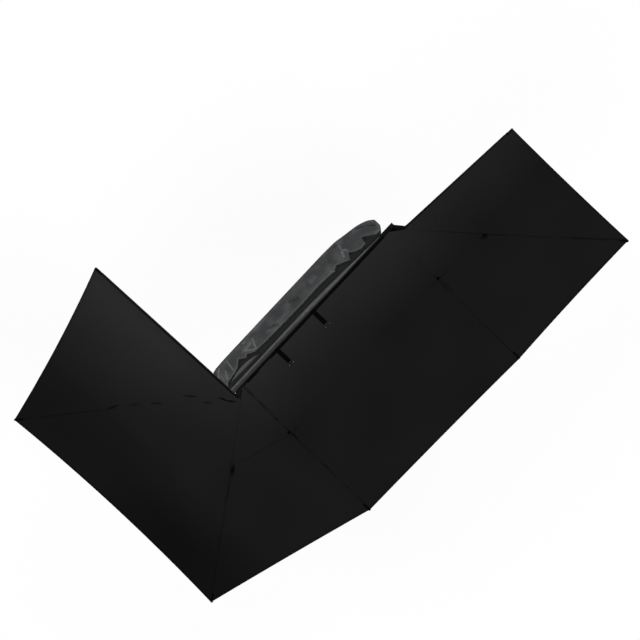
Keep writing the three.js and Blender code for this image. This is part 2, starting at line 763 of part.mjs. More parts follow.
// Turns the faces round if they enclose a negative volume.
function facingOut(points, faces) {
  const geometry = new THREE.BufferGeometry();
  geometry.setAttribute("position", new THREE.Float32BufferAttribute(points, 3));
  const corner = (n) => new THREE.Vector3().fromArray(points, 3 * faces[n]);
  let volume = 0;
  for (let n = 0; n < faces.length; n += 3) volume += corner(n).dot(corner(n + 1).cross(corner(n + 2)));
  geometry.setIndex(volume > 0 ? faces : faces.reverse());
  geometry.computeVertexNormals();
  return geometry;
}

// Strip that holds the canopy's inner edge in the beam's groove
function keder() {
  const length = 2 * (INNER_X - HUB_EYE) - LUG_REACH;
  const x = KEDER_INSET + KEDER_GROOVE / 2;
  const floor = BEAM_TOP - KEDER_LIP - KEDER_GROOVE + SEAT_GAP;
  const rope = circle(x, floor + KEDER_ROPE, KEDER_ROPE, 10);
  const tail = KEDER_TAIL / 2;
  const crest = CANOPY_ROOT + CLOTH;
  const strip = [
    [x - tail, floor + KEDER_ROPE],
    [x + tail, floor + KEDER_ROPE],
    [x + tail, crest - tail],
    [x, crest],
    [-KEDER_INSET + SEAT_GAP, crest],
    [-KEDER_INSET + SEAT_GAP, crest - KEDER_TAIL],
    [x - tail, crest - KEDER_TAIL],
  ];
  const body = solid(lengthwise(outline(rope), -length / 2, length / 2)).add(
    solid(lengthwise(outline(strip), -length / 2, length / 2)),
  );
  return mesh("canopy_edge_strip", geometryOf(body), webbing);
}

// Travel cover: a soft trough laid open on its back

// The dimples' depth at a share of the length: two rows of waves that fall in and out of step.
function dimples(share) {
  const [slow, quick] = COVER_DIMPLE_COUNTS.map((count) => Math.sin(share * count * 2 * Math.PI));
  return (COVER_DIMPLE * (slow + quick)) / 4;
}

function coverSection(share) {
  const taperShare = Math.max(0, share - COVER_TAPER_START_SHARE) / (1 - COVER_TAPER_START_SHARE);
  const taper = taperShare ** 2;
  const fromEnd = Math.min(1, Math.min(share, 1 - share) / COVER_END_SHARE);
  const round = Math.sqrt(1 - (1 - fromEnd) ** 2);
  const crest = (COVER_CREST + dimples(share)) * (1 - taper * COVER_LOW_SHARE);
  const height = crest * THREE.MathUtils.lerp(COVER_END_HEIGHT_SHARE, 1, round);
  const base = BEAM_TOP + SEAT_GAP;
  const span = THREE.MathUtils.lerp(COVER_REACH, COVER_FRONT_REACH, taper) - COVER_SEAT;
  const ridge = COVER_PROFILE_SHARES.map(([y, z]) => [
    COVER_SEAT + y * span,
    base + COVER_THICK / 2 + z * height,
  ]);
  return [[COVER_SEAT, base], [COVER_SEAT + span, base], ...ridge.reverse()];
}

function cover() {
  const rear = COVER_REAR_INSET - BEAM_LENGTH / 2;
  const front = BEAM_LENGTH / 2 - COVER_FRONT_INSET;
  const at = (s, t) => {
    const section = coverSection(t);
    const [y, z] = section[Math.round(s * (section.length - 1))];
    return new THREE.Vector3(THREE.MathUtils.lerp(rear, front, t), y, z);
  };
  return mesh("travel_cover", loft(at, coverSection(0).length, COVER_STATIONS), coatedCloth);
}

// A closed body through sections that each have the same number of points.
function loft(at, count, stations) {
  const points = [];
  for (let j = 0; j < stations; j++)
    for (let i = 0; i < count; i++) points.push(...at(i / (count - 1), j / (stations - 1)).toArray());
  const faces = [];
  for (let j = 0; j + 1 < stations; j++)
    for (let i = 0; i < count; i++) {
      const k = (i + 1) % count;
      const [a, b, c, d] = [j * count + i, j * count + k, (j + 1) * count + k, (j + 1) * count + i];
      faces.push(a, b, c, a, c, d);
    }
  for (const [start, flip] of [[0, true], [(stations - 1) * count, false]]) {
    const ring = Array.from({ length: count }, (_, i) => {
      const n = 3 * (start + i);
      return new THREE.Vector2(points[n + 1], points[n + 2]);
    });
    for (const [a, b, c] of THREE.ShapeUtils.triangulateShape(ring, []))
      faces.push(...(flip ? [start + c, start + b, start + a] : [start + a, start + b, start + c]));
  }
  return facingOut(points, faces);
}

// Straps and their buckles, lying on the canopy

function canopyTop(x, out) {
  const [startC, tipC] = seam("c");
  const [startD, tipD] = seam("d");
  const share = (x - startC.x) / (startD.x - startC.x);
  const along = THREE.MathUtils.lerp(out / (startC.y - tipC.y), out / (startD.y - tipD.y), share);
  const fall = THREE.MathUtils.lerp(startC.z - tipC.z, startD.z - tipD.z, share);
  const dip = 4 * share * (1 - share);
  return CANOPY_ROOT + CLOTH - fall * along - SAG * dip * along * (1 - along);
}

function strap(place, x) {
  const lie = SEAT_GAP;
  const kederTop = CANOPY_ROOT + CLOTH + lie;
  const inside = KEDER_INSET + KEDER_GROOVE;
  const under = BEAM_TOP + lie;
  const end = canopyTop(x, STRAP_REACH) + STRAP_LIE;
  const lower = [
    [COVER_SEAT - lie, under],
    [inside + STRAP_THICK * 2, under],
    [inside, kederTop],
    [-KEDER_INSET, kederTop],
    [-STRAP_REACH, end],
  ];
  const upper = [
    [-STRAP_REACH, end + STRAP_THICK],
    [-KEDER_INSET, kederTop + STRAP_THICK],
    [inside + STRAP_THICK / 2, kederTop + STRAP_THICK],
    [inside + STRAP_THICK * 3, under + STRAP_THICK],
    [COVER_SEAT - lie, under + STRAP_THICK],
  ];
  const webbingPath = outline([...lower, ...upper]);
  const body = lengthwise(webbingPath, x - STRAP_WIDTH / 2, x + STRAP_WIDTH / 2);
  return mesh(`${place}_strap`, body, webbing);
}

function buckle(place, x) {
  const near = -STRAP_REACH - SEAT_GAP;
  const far = near - BUCKLE_LENGTH;
  const low = canopyTop(x, STRAP_REACH) + STRAP_LIE;
  const half = BUCKLE_WIDTH / 2;
  const frame = outline([
    [x - half, near],
    [x - half, far + BUCKLE_BAR / 2],
    [x - half + BUCKLE_BAR / 2, far],
    [x + half - BUCKLE_BAR / 2, far],
    [x + half, far + BUCKLE_BAR / 2],
    [x + half, near],
  ]);
  const gap = (BUCKLE_LENGTH - 3 * BUCKLE_BAR) / 2;
  for (const start of [near - BUCKLE_BAR, near - 2 * BUCKLE_BAR - gap]) {
    const slot = [
      [x - half + BUCKLE_BAR, start],
      [x + half - BUCKLE_BAR, start],
      [x + half - BUCKLE_BAR, start - gap],
      [x - half + BUCKLE_BAR, start - gap],
    ];
    frame.holes.push(new THREE.Path(slot.map(([a, b]) => new THREE.Vector2(a, b))));
  }
  return mesh(`${place}_buckle`, upright(frame, low, low + BUCKLE_THICK), nylon);
}

// Brackets: angles bolted to the slots in the beam's back, resting on the rack

function bracketFace() {
  return BEAM_DEPTH + SEAT_GAP;
}

function bracketSection() {
  const back = bracketFace();
  const foot = BEAM_BOTTOM - BRACKET_PLATE;
  const head = BEAM_TOP - BRACKET_PLATE;
  return outline([
    [back, foot + BRACKET_BEND],
    [back + BRACKET_BEND, foot],
    [back + BRACKET_FOOT, foot],
    [back + BRACKET_FOOT, foot + BRACKET_PLATE],
    [back + BRACKET_PLATE + BRACKET_BEND, foot + BRACKET_PLATE],
    [back + BRACKET_PLATE, foot + BRACKET_PLATE + BRACKET_BEND],
    [back + BRACKET_PLATE, head],
    [back, head],
  ]);
}

function slotShape(y0, y1, x, radius) {
  const shape = new THREE.Shape();
  shape.absarc(x, y0, radius, Math.PI, 2 * Math.PI, false);
  shape.absarc(x, y1, radius, 0, Math.PI, false);
  shape.closePath();
  return shape;
}

function boltHeight() {
  return BEAM_BOTTOM + BEAM_HEIGHT / 4;
}

function acrossY(x, z, radius, from, to, sides) {
  const round = new THREE.CylinderGeometry(radius, radius, to - from, sides);
  return round.translate(x, (from + to) / 2, z);
}

function bracket(number, x) {
  const back = bracketFace();
  const slotStart = back + BRACKET_FOOT / 2 - BRACKET_SLOT_LENGTH / 4;
  const low = BEAM_BOTTOM - BRACKET_PLATE - OVERRUN;
  const inside = back + BRACKET_PLATE / 2;
  const seat = BEAM_BOTTOM - BRACKET_PLATE / 2;
  const rib = outline([
    [inside, seat],
    [inside + BRACKET_RIB_FOOT, seat],
    [inside, seat + BEAM_HEIGHT * BRACKET_RIB_SHARE],
  ]);
  let body = solid(lengthwise(bracketSection(), x - BRACKET_WIDTH / 2, x + BRACKET_WIDTH / 2)).add(
    solid(lengthwise(rib, x - BRACKET_RIB / 2, x + BRACKET_RIB / 2)),
  );
  for (const side of [-1, 1]) {
    const slot = slotShape(slotStart, slotStart + BRACKET_SLOT_LENGTH, x + (side * BOLT_PITCH) / 2, BRACKET_SLOT / 2);
    const hole = acrossY(
      x + (side * BOLT_PITCH) / 2,
      boltHeight(),
      BOLT + PIN_CLEAR,
      back - OVERRUN,
      back + BRACKET_PLATE + OVERRUN,
      14,
    );
    body = body.subtract(solid(upright(slot, low, BEAM_BOTTOM + OVERRUN))).subtract(solid(hole));
  }
  return mesh(`bracket_${number}`, geometryOf(body), blackCoat);
}

// A bolt with its head in the beam's slot and its nut outside the bracket.
function bracketBolt(name, x) {
  const z = boltHeight();
  const lip = BEAM_DEPTH - SLOT_LIP - SEAT_GAP;
  const outside = bracketFace() + BRACKET_PLATE + SEAT_GAP;
  const head = block(
    x - BOLT_HEAD,
    x + BOLT_HEAD,
    lip - BOLT_HEAD_HEIGHT,
    lip,
    z - BOLT_HEAD,
    z + BOLT_HEAD,
  );
  const shank = acrossY(x, z, BOLT, lip - OVERRUN, outside + BOLT_NUT_HEIGHT + OVERRUN, 12);
  const nut = acrossY(x, z, BOLT_NUT, outside, outside + BOLT_NUT_HEIGHT, 6);
  const body = solid(head).add(solid(shank)).add(solid(nut));
  return mesh(name, geometryOf(body), steel);
}

// Assembly

const awning = new THREE.Group();
awning.name = "side_awning";
const raised = new THREE.Group();
raised.position.set(0, -(bracketFace() + BRACKET_BEND + (BRACKET_FOOT - BRACKET_BEND) / 2), BRACKET_PLATE - BEAM_BOTTOM);
awning.add(raised);

raised.add(beam());
for (const fan of ["rear", "front"]) {
  raised.add(hub(fan));
  for (const kind of ["hub", "inner"]) raised.add(pin(fan, kind), sleeve(fan, kind));
}
for (const name of Object.keys(ARMS)) raised.add(armGroup(name));
for (const pair of Object.keys(EDGE_BOW_SHARES)) raised.add(panel(pair[0], pair[1]));
raised.add(keder(), cover());
for (const [place, x] of Object.entries(STRAP_PLACES)) raised.add(strap(place, x), buckle(place, x));
for (const [index, x] of [-BRACKET_PITCH, 0, BRACKET_PITCH].entries()) {
  raised.add(bracket(index + 1, x));
  for (const [side, shift] of [["left", -1 / 2], ["right", 1 / 2]])
    raised.add(bracketBolt(`bracket_${index + 1}_${side}_bolt`, x + shift * BOLT_PITCH));
}

export default awning;
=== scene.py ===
"""Wing awning for the side of a vehicle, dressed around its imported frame."""

import json
from math import atan2, cos, exp, pi, radians, sin, sqrt

import bpy
from mathutils import Matrix, Vector, noise


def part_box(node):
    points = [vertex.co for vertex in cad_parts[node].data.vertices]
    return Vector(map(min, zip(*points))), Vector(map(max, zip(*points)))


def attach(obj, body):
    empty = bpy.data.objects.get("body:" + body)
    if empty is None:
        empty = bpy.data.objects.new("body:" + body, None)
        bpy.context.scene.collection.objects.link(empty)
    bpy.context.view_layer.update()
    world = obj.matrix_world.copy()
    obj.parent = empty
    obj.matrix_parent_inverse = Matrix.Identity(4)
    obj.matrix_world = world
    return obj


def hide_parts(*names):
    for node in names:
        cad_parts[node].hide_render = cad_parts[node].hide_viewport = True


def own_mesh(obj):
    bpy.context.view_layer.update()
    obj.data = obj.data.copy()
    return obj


bl_info = {
    "name": "Side awning",
    "version": (1, 0, 0),
    "blender": (4, 5, 0),
    "location": "View3D > Sidebar > Awning",
    "description": "Dresses the frame of a wing awning with its cloth, webbing and finishes",
    "category": "Object",
}

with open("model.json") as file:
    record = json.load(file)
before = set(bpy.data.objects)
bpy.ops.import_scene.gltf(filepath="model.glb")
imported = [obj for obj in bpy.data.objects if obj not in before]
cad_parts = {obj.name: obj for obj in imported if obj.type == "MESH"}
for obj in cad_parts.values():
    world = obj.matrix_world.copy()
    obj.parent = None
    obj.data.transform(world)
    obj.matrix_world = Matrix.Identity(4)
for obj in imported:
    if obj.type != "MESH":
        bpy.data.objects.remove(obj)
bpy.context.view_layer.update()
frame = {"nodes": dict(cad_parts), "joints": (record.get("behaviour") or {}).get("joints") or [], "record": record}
MM = 0.001
FAR = 100


def metres(table):
    """A table written in thousandths, in whole units such as metres."""
    return [metres(part) if isinstance(part, (list, tuple)) else part / 1000 for part in table]


# Places, in metres: X forward along the beam, "out" from the beam's outer face, "up" from the arms' top
BEAM_FACE = -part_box("backing_beam")[0].y
BEAM_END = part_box("backing_beam")[1].x
ARM_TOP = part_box("arm_d_tube")[1].z
FRONT_DROP = ARM_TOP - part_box("arm_c_tube")[1].z
JOINTS = {joint["child"]: joint for joint in frame["joints"]}

# Arms: how far each reaches from its pin, and the lane beside the beam that it folds into
FIRST_LANE = 0.016
LANE = 0.032
HUB_PIN_OUT = 0.086
ARM_WIDTH = 0.028
ARM_HEIGHT = 0.036
REACHES = {"g": 2.074, "f": 2.3958, "e": 2.1138, "d": 1.8581, "c": 1.8853, "b": 2.3693, "a": 1.5195}
LANES = {"g": 3, "f": 2, "e": 1, "d": 0, "c": 0, "b": 1, "a": 2}
FANS = {name: "front" if name in "abc" else "rear" for name in REACHES}
SIDES = {"rear": 1, "front": -1}

# Canopy: where the seams start by the hubs and where its corners lie, along the beam and out from its face
SEAMS = {
    "b": ((1.262, 0.104), (2.829, 1.928)),
    "c": ((1.128, -0.003), (1.103, 1.943)),
    "d": ((-1.128, -0.003), (-1.153, 1.871)),
    "e": ((-1.236, 0.064), (-3.032, 1.311)),
    "f": ((-1.267, 0.002), (-3.049, -1.539)),
}
EDGES = {"a": (0.0225, 1.575), "g": (0.092, 2.102)}  # ends of the cloth along the first and last arm
HEM_ON_ARM = 0.006
BESIDE = ARM_WIDTH / 2 - HEM_ON_ARM
ROOT_UP = 0.0162  # middle of the cloth at the beam
TIP_UP = 0.0016  # and over an arm's tip
LOW_SEAMS = "ab"  # the front arms to which the cloth comes down sooner
LOW_SHARE = 0.4  # of such a seam, by which it is down
LOW_POWER = 1.4
SAG = 0.026
BOW_SHARES = {"fg": 0.016, "ef": 0.016, "de": 0.003, "cd": 0.003, "bc": 0.006, "ab": 0.006}
FLAT_BY_SEAM, FLAT_BY_HEM = 0.12, 0.08
PUCKER_HIGH, PUCKER_WIDE, PUCKER_START, PUCKER_TURNS = 0.9 * MM, 0.05, 0.015, 150
HEM_DEEP, HEM_HIGH = 0.024, 0.7 * MM
# Shallow waves: height, turns along and out, and a seed
SHALLOW_WAVES = [(2.4 * MM, 1.9, 1.9, 0.3), (0.7 * MM, 7, 5, 4.1)]
CREASE_WANDER = 0.012
CREASE_END_SHARE = 0.03

# Soft creases, in millimetres: both ends as (along the beam, out from it), height and half width
CREASES = metres([
    ((-1133, 681), (-1850, 515), 1.4, 14), ((1123, 717), (1791, 780), 1.4, 14),
    ((-1383, -108), (-1300, 42), 6, 16), ((-1640, -410), (-1480, -130), 4, 14),
    ((-1360, 20), (-1900, -380), 3, 18), ((-1300, 110), (-1520, 330), 3, 18),
    ((1330, 150), (1620, 330), 3, 18), ((1420, 160), (2100, 330), 2, 20),
    ((-1133, 681), (300, 760), 0.7, 16), ((1123, 717), (100, 770), 0.7, 16),
])

# Canopy pieces: each panel is cut in halves, and each half goes with its own arm
HALVES = [
    ("bc", "b"), ("bc", "c"), ("ab", "a"), ("ab", "b"), ("de", "d"), ("de", "e"),
    ("ef", "e"), ("ef", "f"), ("fg", "f"), ("fg", "g"), ("cd", "c"), ("cd", "d"),
]
APEX_SHARE = 0.6  # how far out the middle panel's inner part reaches
TURNED_SHARES = (0, 0.15, 0.9)  # rows of points in a turned edge
TURNED_HEM, TURNED_SEAM = 0.025, 0.011
FOLD_KEEP = {"rear": 0.012, "front": 0.001}
FOLD_ASIDE = {"rear": 0, "front": ARM_WIDTH / 2 + 2 * MM}
BEAM_FOLD = {"axis": (0, 1, 0.025), "keep": 0.11}
BEAM_FOLD_OUT = 0.006
CLOTH_TURNS = {"ab": 0.35, "bc": 0, "cd": 0, "de": 0.27, "ef": -0.2, "fg": 0.1}

# Dark marks along the seams, and painted shade along creases near them, in thousandths: both ends, half width and
# strength
SEAM_MARKS_AND_CREASE_SHADE = {
    "b": metres([((1765, 757), (1832, 795), 20, 900), ((1860, 815), (1990, 950), 7, 700)]),
    "c": metres([((960, 720), (1290, 734), 9, 550), ((1123, 660), (1123, 760), 10, 600),
                 ((1125, 770), (1124, 920), 28, 400), ((1126, 360), (1124, 620), 10, 200)]),
    "d": metres([((-1134, 450), (-1134, 510), 9, 900), ((-1134, 680), (-1134, 810), 11, 1000),
                 ((-1160, 705), (-1700, 527), 9, 350), ((-1120, 702), (-1030, 705), 10, 450)]),
    "e": metres([((-1905, 553), (-1800, 486), 21, 1000), ((-1790, 502), (-1310, 655), 9, 300),
                 ((-2160, 710), (-1930, 560), 10, 600)]),
    "f": metres([((-2900, -1405), (-2330, -925), 8, 600), ((-2290, -895), (-2180, -840), 12, 900),
                 ((-2100, -755), (-2010, -680), 13, 550), ((-1925, -600), (-1845, -515), 9, 800),
                 ((-1630, -405), (-1535, -285), 9, 800), ((-1533, -200), (-1482, -130), 9, 800),
                 ((-1383, -108), (-1352, -30), 11, 1000), ((-1352, -30), (-1300, 42), 12, 950)]),
}

# Painted sheen and shade on the canopy, as how pale it looks in steps of 255: over most of it, with painted sheen
# by the beam and along the last arm
PLAIN = 24
BEAM_SHEEN = 12.5
BEAM_FADE = 0.7  # out from the beam's face
FRONT_SHARE, FRONT_FADE = 0.7, 0.3  # of that gain left in front of the front hub, and how soon
REAR_SHEEN = [(-1.5, 17), (-1, 16), (-0.5, 12.5), (-0.1, 9), (0.3, 5.5), (0.7, 1.5), (0.9, 1)]
REAR_START, REAR_FADE = 1.4, 0.95
REAR_BLEND = (1.05, 1.45)
# Painted shade: darker towards the far rear edge
EDGE_SHADE = [(-0.4, 3.5), (0.5, 7)]
EDGE_START, EDGE_FADE = 2.25, 0.5
CLOUD_GAIN, CLOUD_TURNS = 1.6, 1.9
DARKEST, PALEST = 14.5, 42  # what the two ends of the cloth's colour range look like

# Where each seam shows, by the share of its length and how strongly
SEAM_SHOWS = {
    "b": [(0, 0.15), (0.25, 0.5), (0.41, 0.9), (0.47, 0.45), (0.7, 0.6), (0.78, 1), (0.92, 0.9), (1, 1)],
    "c": [(0.3, 0), (0.34, 0.3), (0.37, 0.8), (0.42, 0.4), (0.7, 0.55), (1, 0.9)],
    "d": [(0, 0.9), (0.3, 0.7), (0.37, 1), (0.42, 0.7), (1, 0.9)],
    "e": [(0, 0.3), (0.28, 0.35), (0.33, 1), (0.37, 0.7), (0.6, 0.55), (0.85, 0.9), (1, 1)],
    "f": [(0, 0.05), (0.5, 0.1), (0.7, 0.3), (0.93, 0.7), (1, 1)],
}
SEAM_HALF = 0.0045
SEAM_SOFT = 0.005
SEAM_WANDER = 0.004
HEM_WIDTH = 0.03
HEM_SHOWS = 0.6

# Travel cover, thrown open on its back: a wide flap, the bag's mouth painted dark as painted shade, and a narrow
# flap along the beam.
# Its places are along the beam and back from its face, in millimetres inside metres().
COVER_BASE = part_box("travel_cover")[0].z - ARM_TOP
COVER_REAR, COVER_FRONT = -1.243, 1.122
COVER_COLUMNS, COVER_ROWS, UNDER_ROWS = 420, 76, 4
COVER_THICK = 0.9 * MM
UNDER_LIFT = 0.6 * MM
FLOOR_LIFT = 0.003  # of the cover's cloth over its seat
FLAP_HIGH, ROLL_HIGH, BAND_HIGH, TONGUE_HIGH = 0.034, 0.02, 0.01, 0.014
END_ROUNDS = (0.05, 0.07)
CORNER_STEPS = (-0.03, -0.015, 0, 0.015, 0.03)
EDGE_ROLL_SHARE = 0.86
NEAR_EDGE = metres([(-1243, 17), (-1205, 32), (1000, 32), (1070, 55), (1122, 125)])
FAR_EDGE = metres([
    (-1265, 325), (-1200, 345), (-1050, 351), (-500, 352), (450, 352), (660, 345), (760, 325), (940, 295),
    (1020, 268), (1090, 235), (1120, 190),
])
MOUTH_EDGE = metres([
    (-1265, 100), (-1200, 150), (-1060, 170), (-1010, 190), (-945, 236), (-880, 190), (-845, 208),
    (-770, 168), (-600, 156), (-400, 152), (-200, 148), (0, 146), (200, 150), (350, 142), (430, 130),
    (485, 164), (560, 130), (630, 95), (675, 160), (730, 120), (790, 96), (872, 92), (884, 170),
    (950, 115), (1000, 80), (1120, 75),
])
ROLL_EDGE = metres([
    (-1265, 88), (-700, 90), (-60, 92), (200, 85), (450, 76), (700, 62), (900, 52), (1000, 46), (1120, 42),
])
ROLL_START = metres([(-1265, 62), (-700, 60), (-300, 56), (-60, 50), (400, 40), (1120, 34)])
TONGUE = metres([
    (-1180, 136, 130), (-1080, 158, 124), (-1000, 172, 120), (-900, 164, 118), (-800, 142, 116),
    (-740, 120, 116),
])
TONGUE_MIDDLE, TONGUE_WIDE = 0.146, 0.04
# Folds: both ends, height and half width. Ridges get painted highlights, grooves painted shade
COVER_FOLDS = metres([
    ((-850, 262), (-740, 185), 7, 9), ((-680, 292), (-738, 182), 8, 8), ((-850, 258), (-720, 262), 5, 9),
    ((-1150, 330), (-1262, 245), 7, 12), ((-1120, 262), (-1190, 178), 5, 10),
    ((-1040, 335), (-1068, 190), 6, 7), ((-800, 318), (-750, 320), 5, 12), ((655, 290), (642, 235), 6, 9),
    ((642, 235), (600, 165), 7, 12), ((645, 235), (690, 188), 6, 8), ((150, 240), (260, 250), 3, 30),
    ((380, 178), (435, 140), 4, 8), ((-550, 215), (-200, 200), 3, 20), ((880, 175), (1040, 60), -6, 8),
    ((900, 285), (1000, 232), -7, 6), ((1000, 232), (1085, 150), -8, 6), ((505, 288), (530, 309), -5, 4),
    ((530, 309), (590, 316), -5, 4), ((590, 316), (655, 309), -5, 4), ((-500, 240), (-380, 190), -4, 22),
    ((-150, 270), (-20, 210), -4, 30), ((360, 290), (500, 230), -3, 26),
])
PIPING = 0.0028
PIPING_INSET = 0.01

# Straps, buckles, ties and loops
STRAPS = {"rear": -0.594, "front": -0.036}
STRAP_REACH = 0.172
STRAP_WIDTH, STRAP_THICK = 0.05, 0.0018
STRAP_TUCK = [(-0.018, 0.0125), (-0.013, 0.018), (-0.006, 0.0184)]  # over the cover's roll: out and up
STRAP_LIFT = 0.0012
BUCKLE_HALF, BUCKLE_GAP, BUCKLE_LONG = 0.031, 0.0006, 0.034
BUCKLE_UP, BUCKLE_INSET, BUCKLE_BAR = 0.0052, 0.003, 0.016
STUD_RADIUS, STUD_INSET = 0.0026, 0.007
RIBBON_SHARES = (-1, -0.94, -0.5, 0, 0.5, 0.94, 1)
EDGE_TOP_SHARE, EDGE_UNDER_SHARE = 0.55, 0.45
LOOP_WIDTH, LOOP_THICK = 0.022, 0.0015
LOOP_ON_TOP, LOOP_UNDER = (0.095, 0.004), (0.01, 0.06)  # how far back from the arm's nose
MARKS = {"d": 0.665, "c": 0.701, "e": 0.713, "b": 0.862}
TIE_WIDTH, TIE_THICK, TIE_CORNER = 25 * MM, 0.8 * MM, 2 * MM
PATCH_HALF, CROSS_SHARE, THREAD = 15 * MM, 0.85, 0.8 * MM
CROSS = ((-1, -1, 1, 1), (-1, 1, 1, -1), (-1, -1, 1, -1), (-1, 1, 1, 1))  # seams on a patch, in half widths

# Stage
CAMERA_HEIGHT = 6.6
SENSOR = 36
VIEW_WIDTH = 6.803
VIEW_MIDDLE = (-0.052, 0.104)
VIEW_TURN = -46.83
FLOOR_SIZE = 60
FLOOR_GLOW = 0.93
SKY_LIGHT = 0.22
LAMPS = ((20, 50, 0.9), (110, 55, 0.6), (200, 50, 0.6), (290, 55, 0.6))  # turn, tilt and power
LAMP_GAIN, LAMP_SPREAD = 1.55, 25


def colour(code):
    """A colour written as hex digits on screen, as the linear values a shader takes."""
    parts = [int(code[k : k + 2], 16) / 255 for k in (1, 3, 5)]
    return [*(p / 12.92 if p <= 0.04045 else ((p + 0.055) / 1.055) ** 2.4 for p in parts), 1]


def clamp(value):
    """A value held between 0 and 1."""
    return max(0, min(1, value))


def ripple(*point):
    """Smooth noise at a point, around 0."""
    return noise.noise(Vector(point))


def stations(low, high, count):
    """Evenly spaced values, both ends among them."""
    return [low + (high - low) * k / (count - 1) for k in range(count)]


def between(table, x):
    """The value of a table of places at a point, level past both its ends."""
    if x <= table[0][0]:
        return table[0][1]
    for (x0, y0, *_), (x1, y1, *_) in zip(table, table[1:]):
        if x <= x1:
            return y0 + (y1 - y0) * (x - x0) / (x1 - x0)
    return table[-1][1]


def bump(value, low, high):
    """A smooth step from 0 to 1."""
    share = clamp((value - low) / (high - low))
    return share * share * (3 - 2 * share)


def place(x, out, up):
    """A point by its distance along the beam, out from its face and up from the arms' top."""
    return Vector((x, -out - BEAM_FACE, ARM_TOP + up))


def pin(name):
    """Where an arm's pin stands."""
    x, y, _ = JOINTS[f"arm_{name}"]["pos_m"]
    return Vector((x, y, 0))


def heading(name):
    """The way an open arm points, as an angle from +X."""
    folded = 0 if FANS[name] == "rear" else pi
    return folded - SIDES[FANS[name]] * radians(JOINTS[f"arm_{name}"]["range_deg"][1])


def on_arm(name, along, out, up):
    """A point along an open arm from its pin, out from its middle on the fan's outer side."""
    side = SIDES[FANS[name]]
    pin_out = FIRST_LANE if name in "cd" else HUB_PIN_OUT
    step = -side * (FIRST_LANE + LANE * LANES[name] - pin_out)
    point = Matrix.Rotation(heading(name), 3, "Z") @ Vector((along, step - side * out, 0))
    point += pin(name)
    point.z = ARM_TOP + up
    return point


def arm_drop(name):
    """How far an arm's top lies under the rear fan's."""
    return 0 if FANS[name] == "rear" else FRONT_DROP


def seam(name):
    """Both ends of the line where the canopy meets an arm."""
    tip_up = TIP_UP - arm_drop(name)
    if name in EDGES:
        near, far = EDGES[name]
        return on_arm(name, near, -BESIDE, ROOT_UP), on_arm(name, far, -BESIDE, tip_up)
    near, far = SEAMS[name]
    return place(*near, ROOT_UP), place(*far, tip_up)


def on_seam(name, share):
    """A point on an arm's seam. Over the low front arms the cloth comes down sooner."""
    start, tip = seam(name)
    point = start.lerp(tip, share)
    if name in LOW_SEAMS:
        fall = max(0, 1 - share / LOW_SHARE) ** LOW_POWER
        point.z = tip.z + (start.z - tip.z) * fall
    return point


def flutter(point):
    """Height of the cloth's creases and shallow waves at a point, in metres."""
    x, out = point.x, -point.y - BEAM_FACE
    height = sum(high * ripple(x * along, out * aside, seed) for high, along, aside, seed in SHALLOW_WAVES)
    for (x0, o0), (x1, o1), rise, width in CREASES:
        run = Vector((x1 - x0, o1 - o0))
        share = clamp(Vector((x - x0, out - o0)).dot(run) / run.length_squared)
        foot = Vector((x0, o0)) + run * share
        across = (Vector((x, out)) - foot).length + CREASE_WANDER * ripple(share * 5, x0, o0)
        fade = sin(pi * min(max(share, CREASE_END_SHARE), 1 - CREASE_END_SHARE))
        height -= rise * fade * exp(-((across / width) ** 2))
    return height


def sector(pair):
    """The canopy's surface between two seams: a function of the shares across and outwards."""
    first, second = pair
    start_a, tip_a = seam(first)
    start_b, tip_b = seam(second)
    length = (tip_a - start_a).length
    bow = (tip_b - tip_a).length * BOW_SHARES[pair]
    inward = (start_a + start_b - tip_a - tip_b) * 0.5
    inward.z = 0
    inward.normalize()

    def at(s, t):
        left = on_seam(first, t)
        right = on_seam(second, t)
        dip = 4 * s * (1 - s)
        point = left.lerp(right, s) + inward * (bow * dip * t * t)
        point.z -= SAG * dip * t * (1 - t)
        beside = min(s, 1 - s) * (left - right).length
        hem = (1 - t) * length
        point.z += flutter(point) * (min(1, beside / FLAT_BY_SEAM) * min(1, hem / FLAT_BY_HEM))
        pucker = exp(-beside / PUCKER_WIDE) * min(1, beside / PUCKER_START)
        point.z += PUCKER_HIGH * pucker * sin(t * length * PUCKER_TURNS)
        if hem < HEM_DEEP:
            point.z += HEM_HIGH
        return point

    return at


def placed(name, data):
    """A new object in the scene."""
    obj = bpy.data.objects.new(name, data)
    bpy.context.scene.collection.objects.link(obj)
    return obj


def pick(obj):
    """Makes a piece the only one selected, and the active one."""
    bpy.ops.object.select_all(action="DESELECT")
    obj.select_set(True)
    bpy.context.view_layer.objects.active = obj


def apply(obj, kind, name, **settings):
    """Adds a modifier to a piece and applies it."""
    pick(obj)
    modifier = obj.modifiers.new(name, kind)
    for key, value in settings.items():
        setattr(modifier, key, value)
    bpy.ops.object.modifier_apply(modifier=name)


def edit(obj, *steps):
    """Runs mesh operators on all of a piece, each with its settings."""
    pick(obj)
    bpy.ops.object.mode_set(mode="EDIT")
    for operator, settings in steps:
        bpy.ops.mesh.select_all(action="SELECT")
        operator(**settings)
    bpy.ops.object.mode_set(mode="OBJECT")


def sheet_of_points(name, rows):
    """A grid whose points are laid one by one, with its closed ends merged."""
    columns, lines = len(rows[0]) - 1, len(rows) - 1
    bpy.ops.mesh.primitive_grid_add(x_subdivisions=columns, y_subdivisions=lines, size=2)
    obj = bpy.context.object
    obj.name = obj.data.name = name
    for vertex in obj.data.vertices:
        i = round((vertex.co.x + 1) / 2 * columns)
        j = round((vertex.co.y + 1) / 2 * lines)
        vertex.co = rows[j][i]
    edit(
        obj,
        (bpy.ops.mesh.remove_doubles, {"threshold": 0.02 * MM}),
        (bpy.ops.mesh.dissolve_degenerate, {"threshold": 0.01 * MM}),
        (bpy.ops.mesh.normals_make_consistent, {"inside": False}),
    )
    if sum(face.normal.z * face.area for face in obj.data.polygons) < 0:
        edit(obj, (bpy.ops.mesh.flip_normals, {}))
    return obj


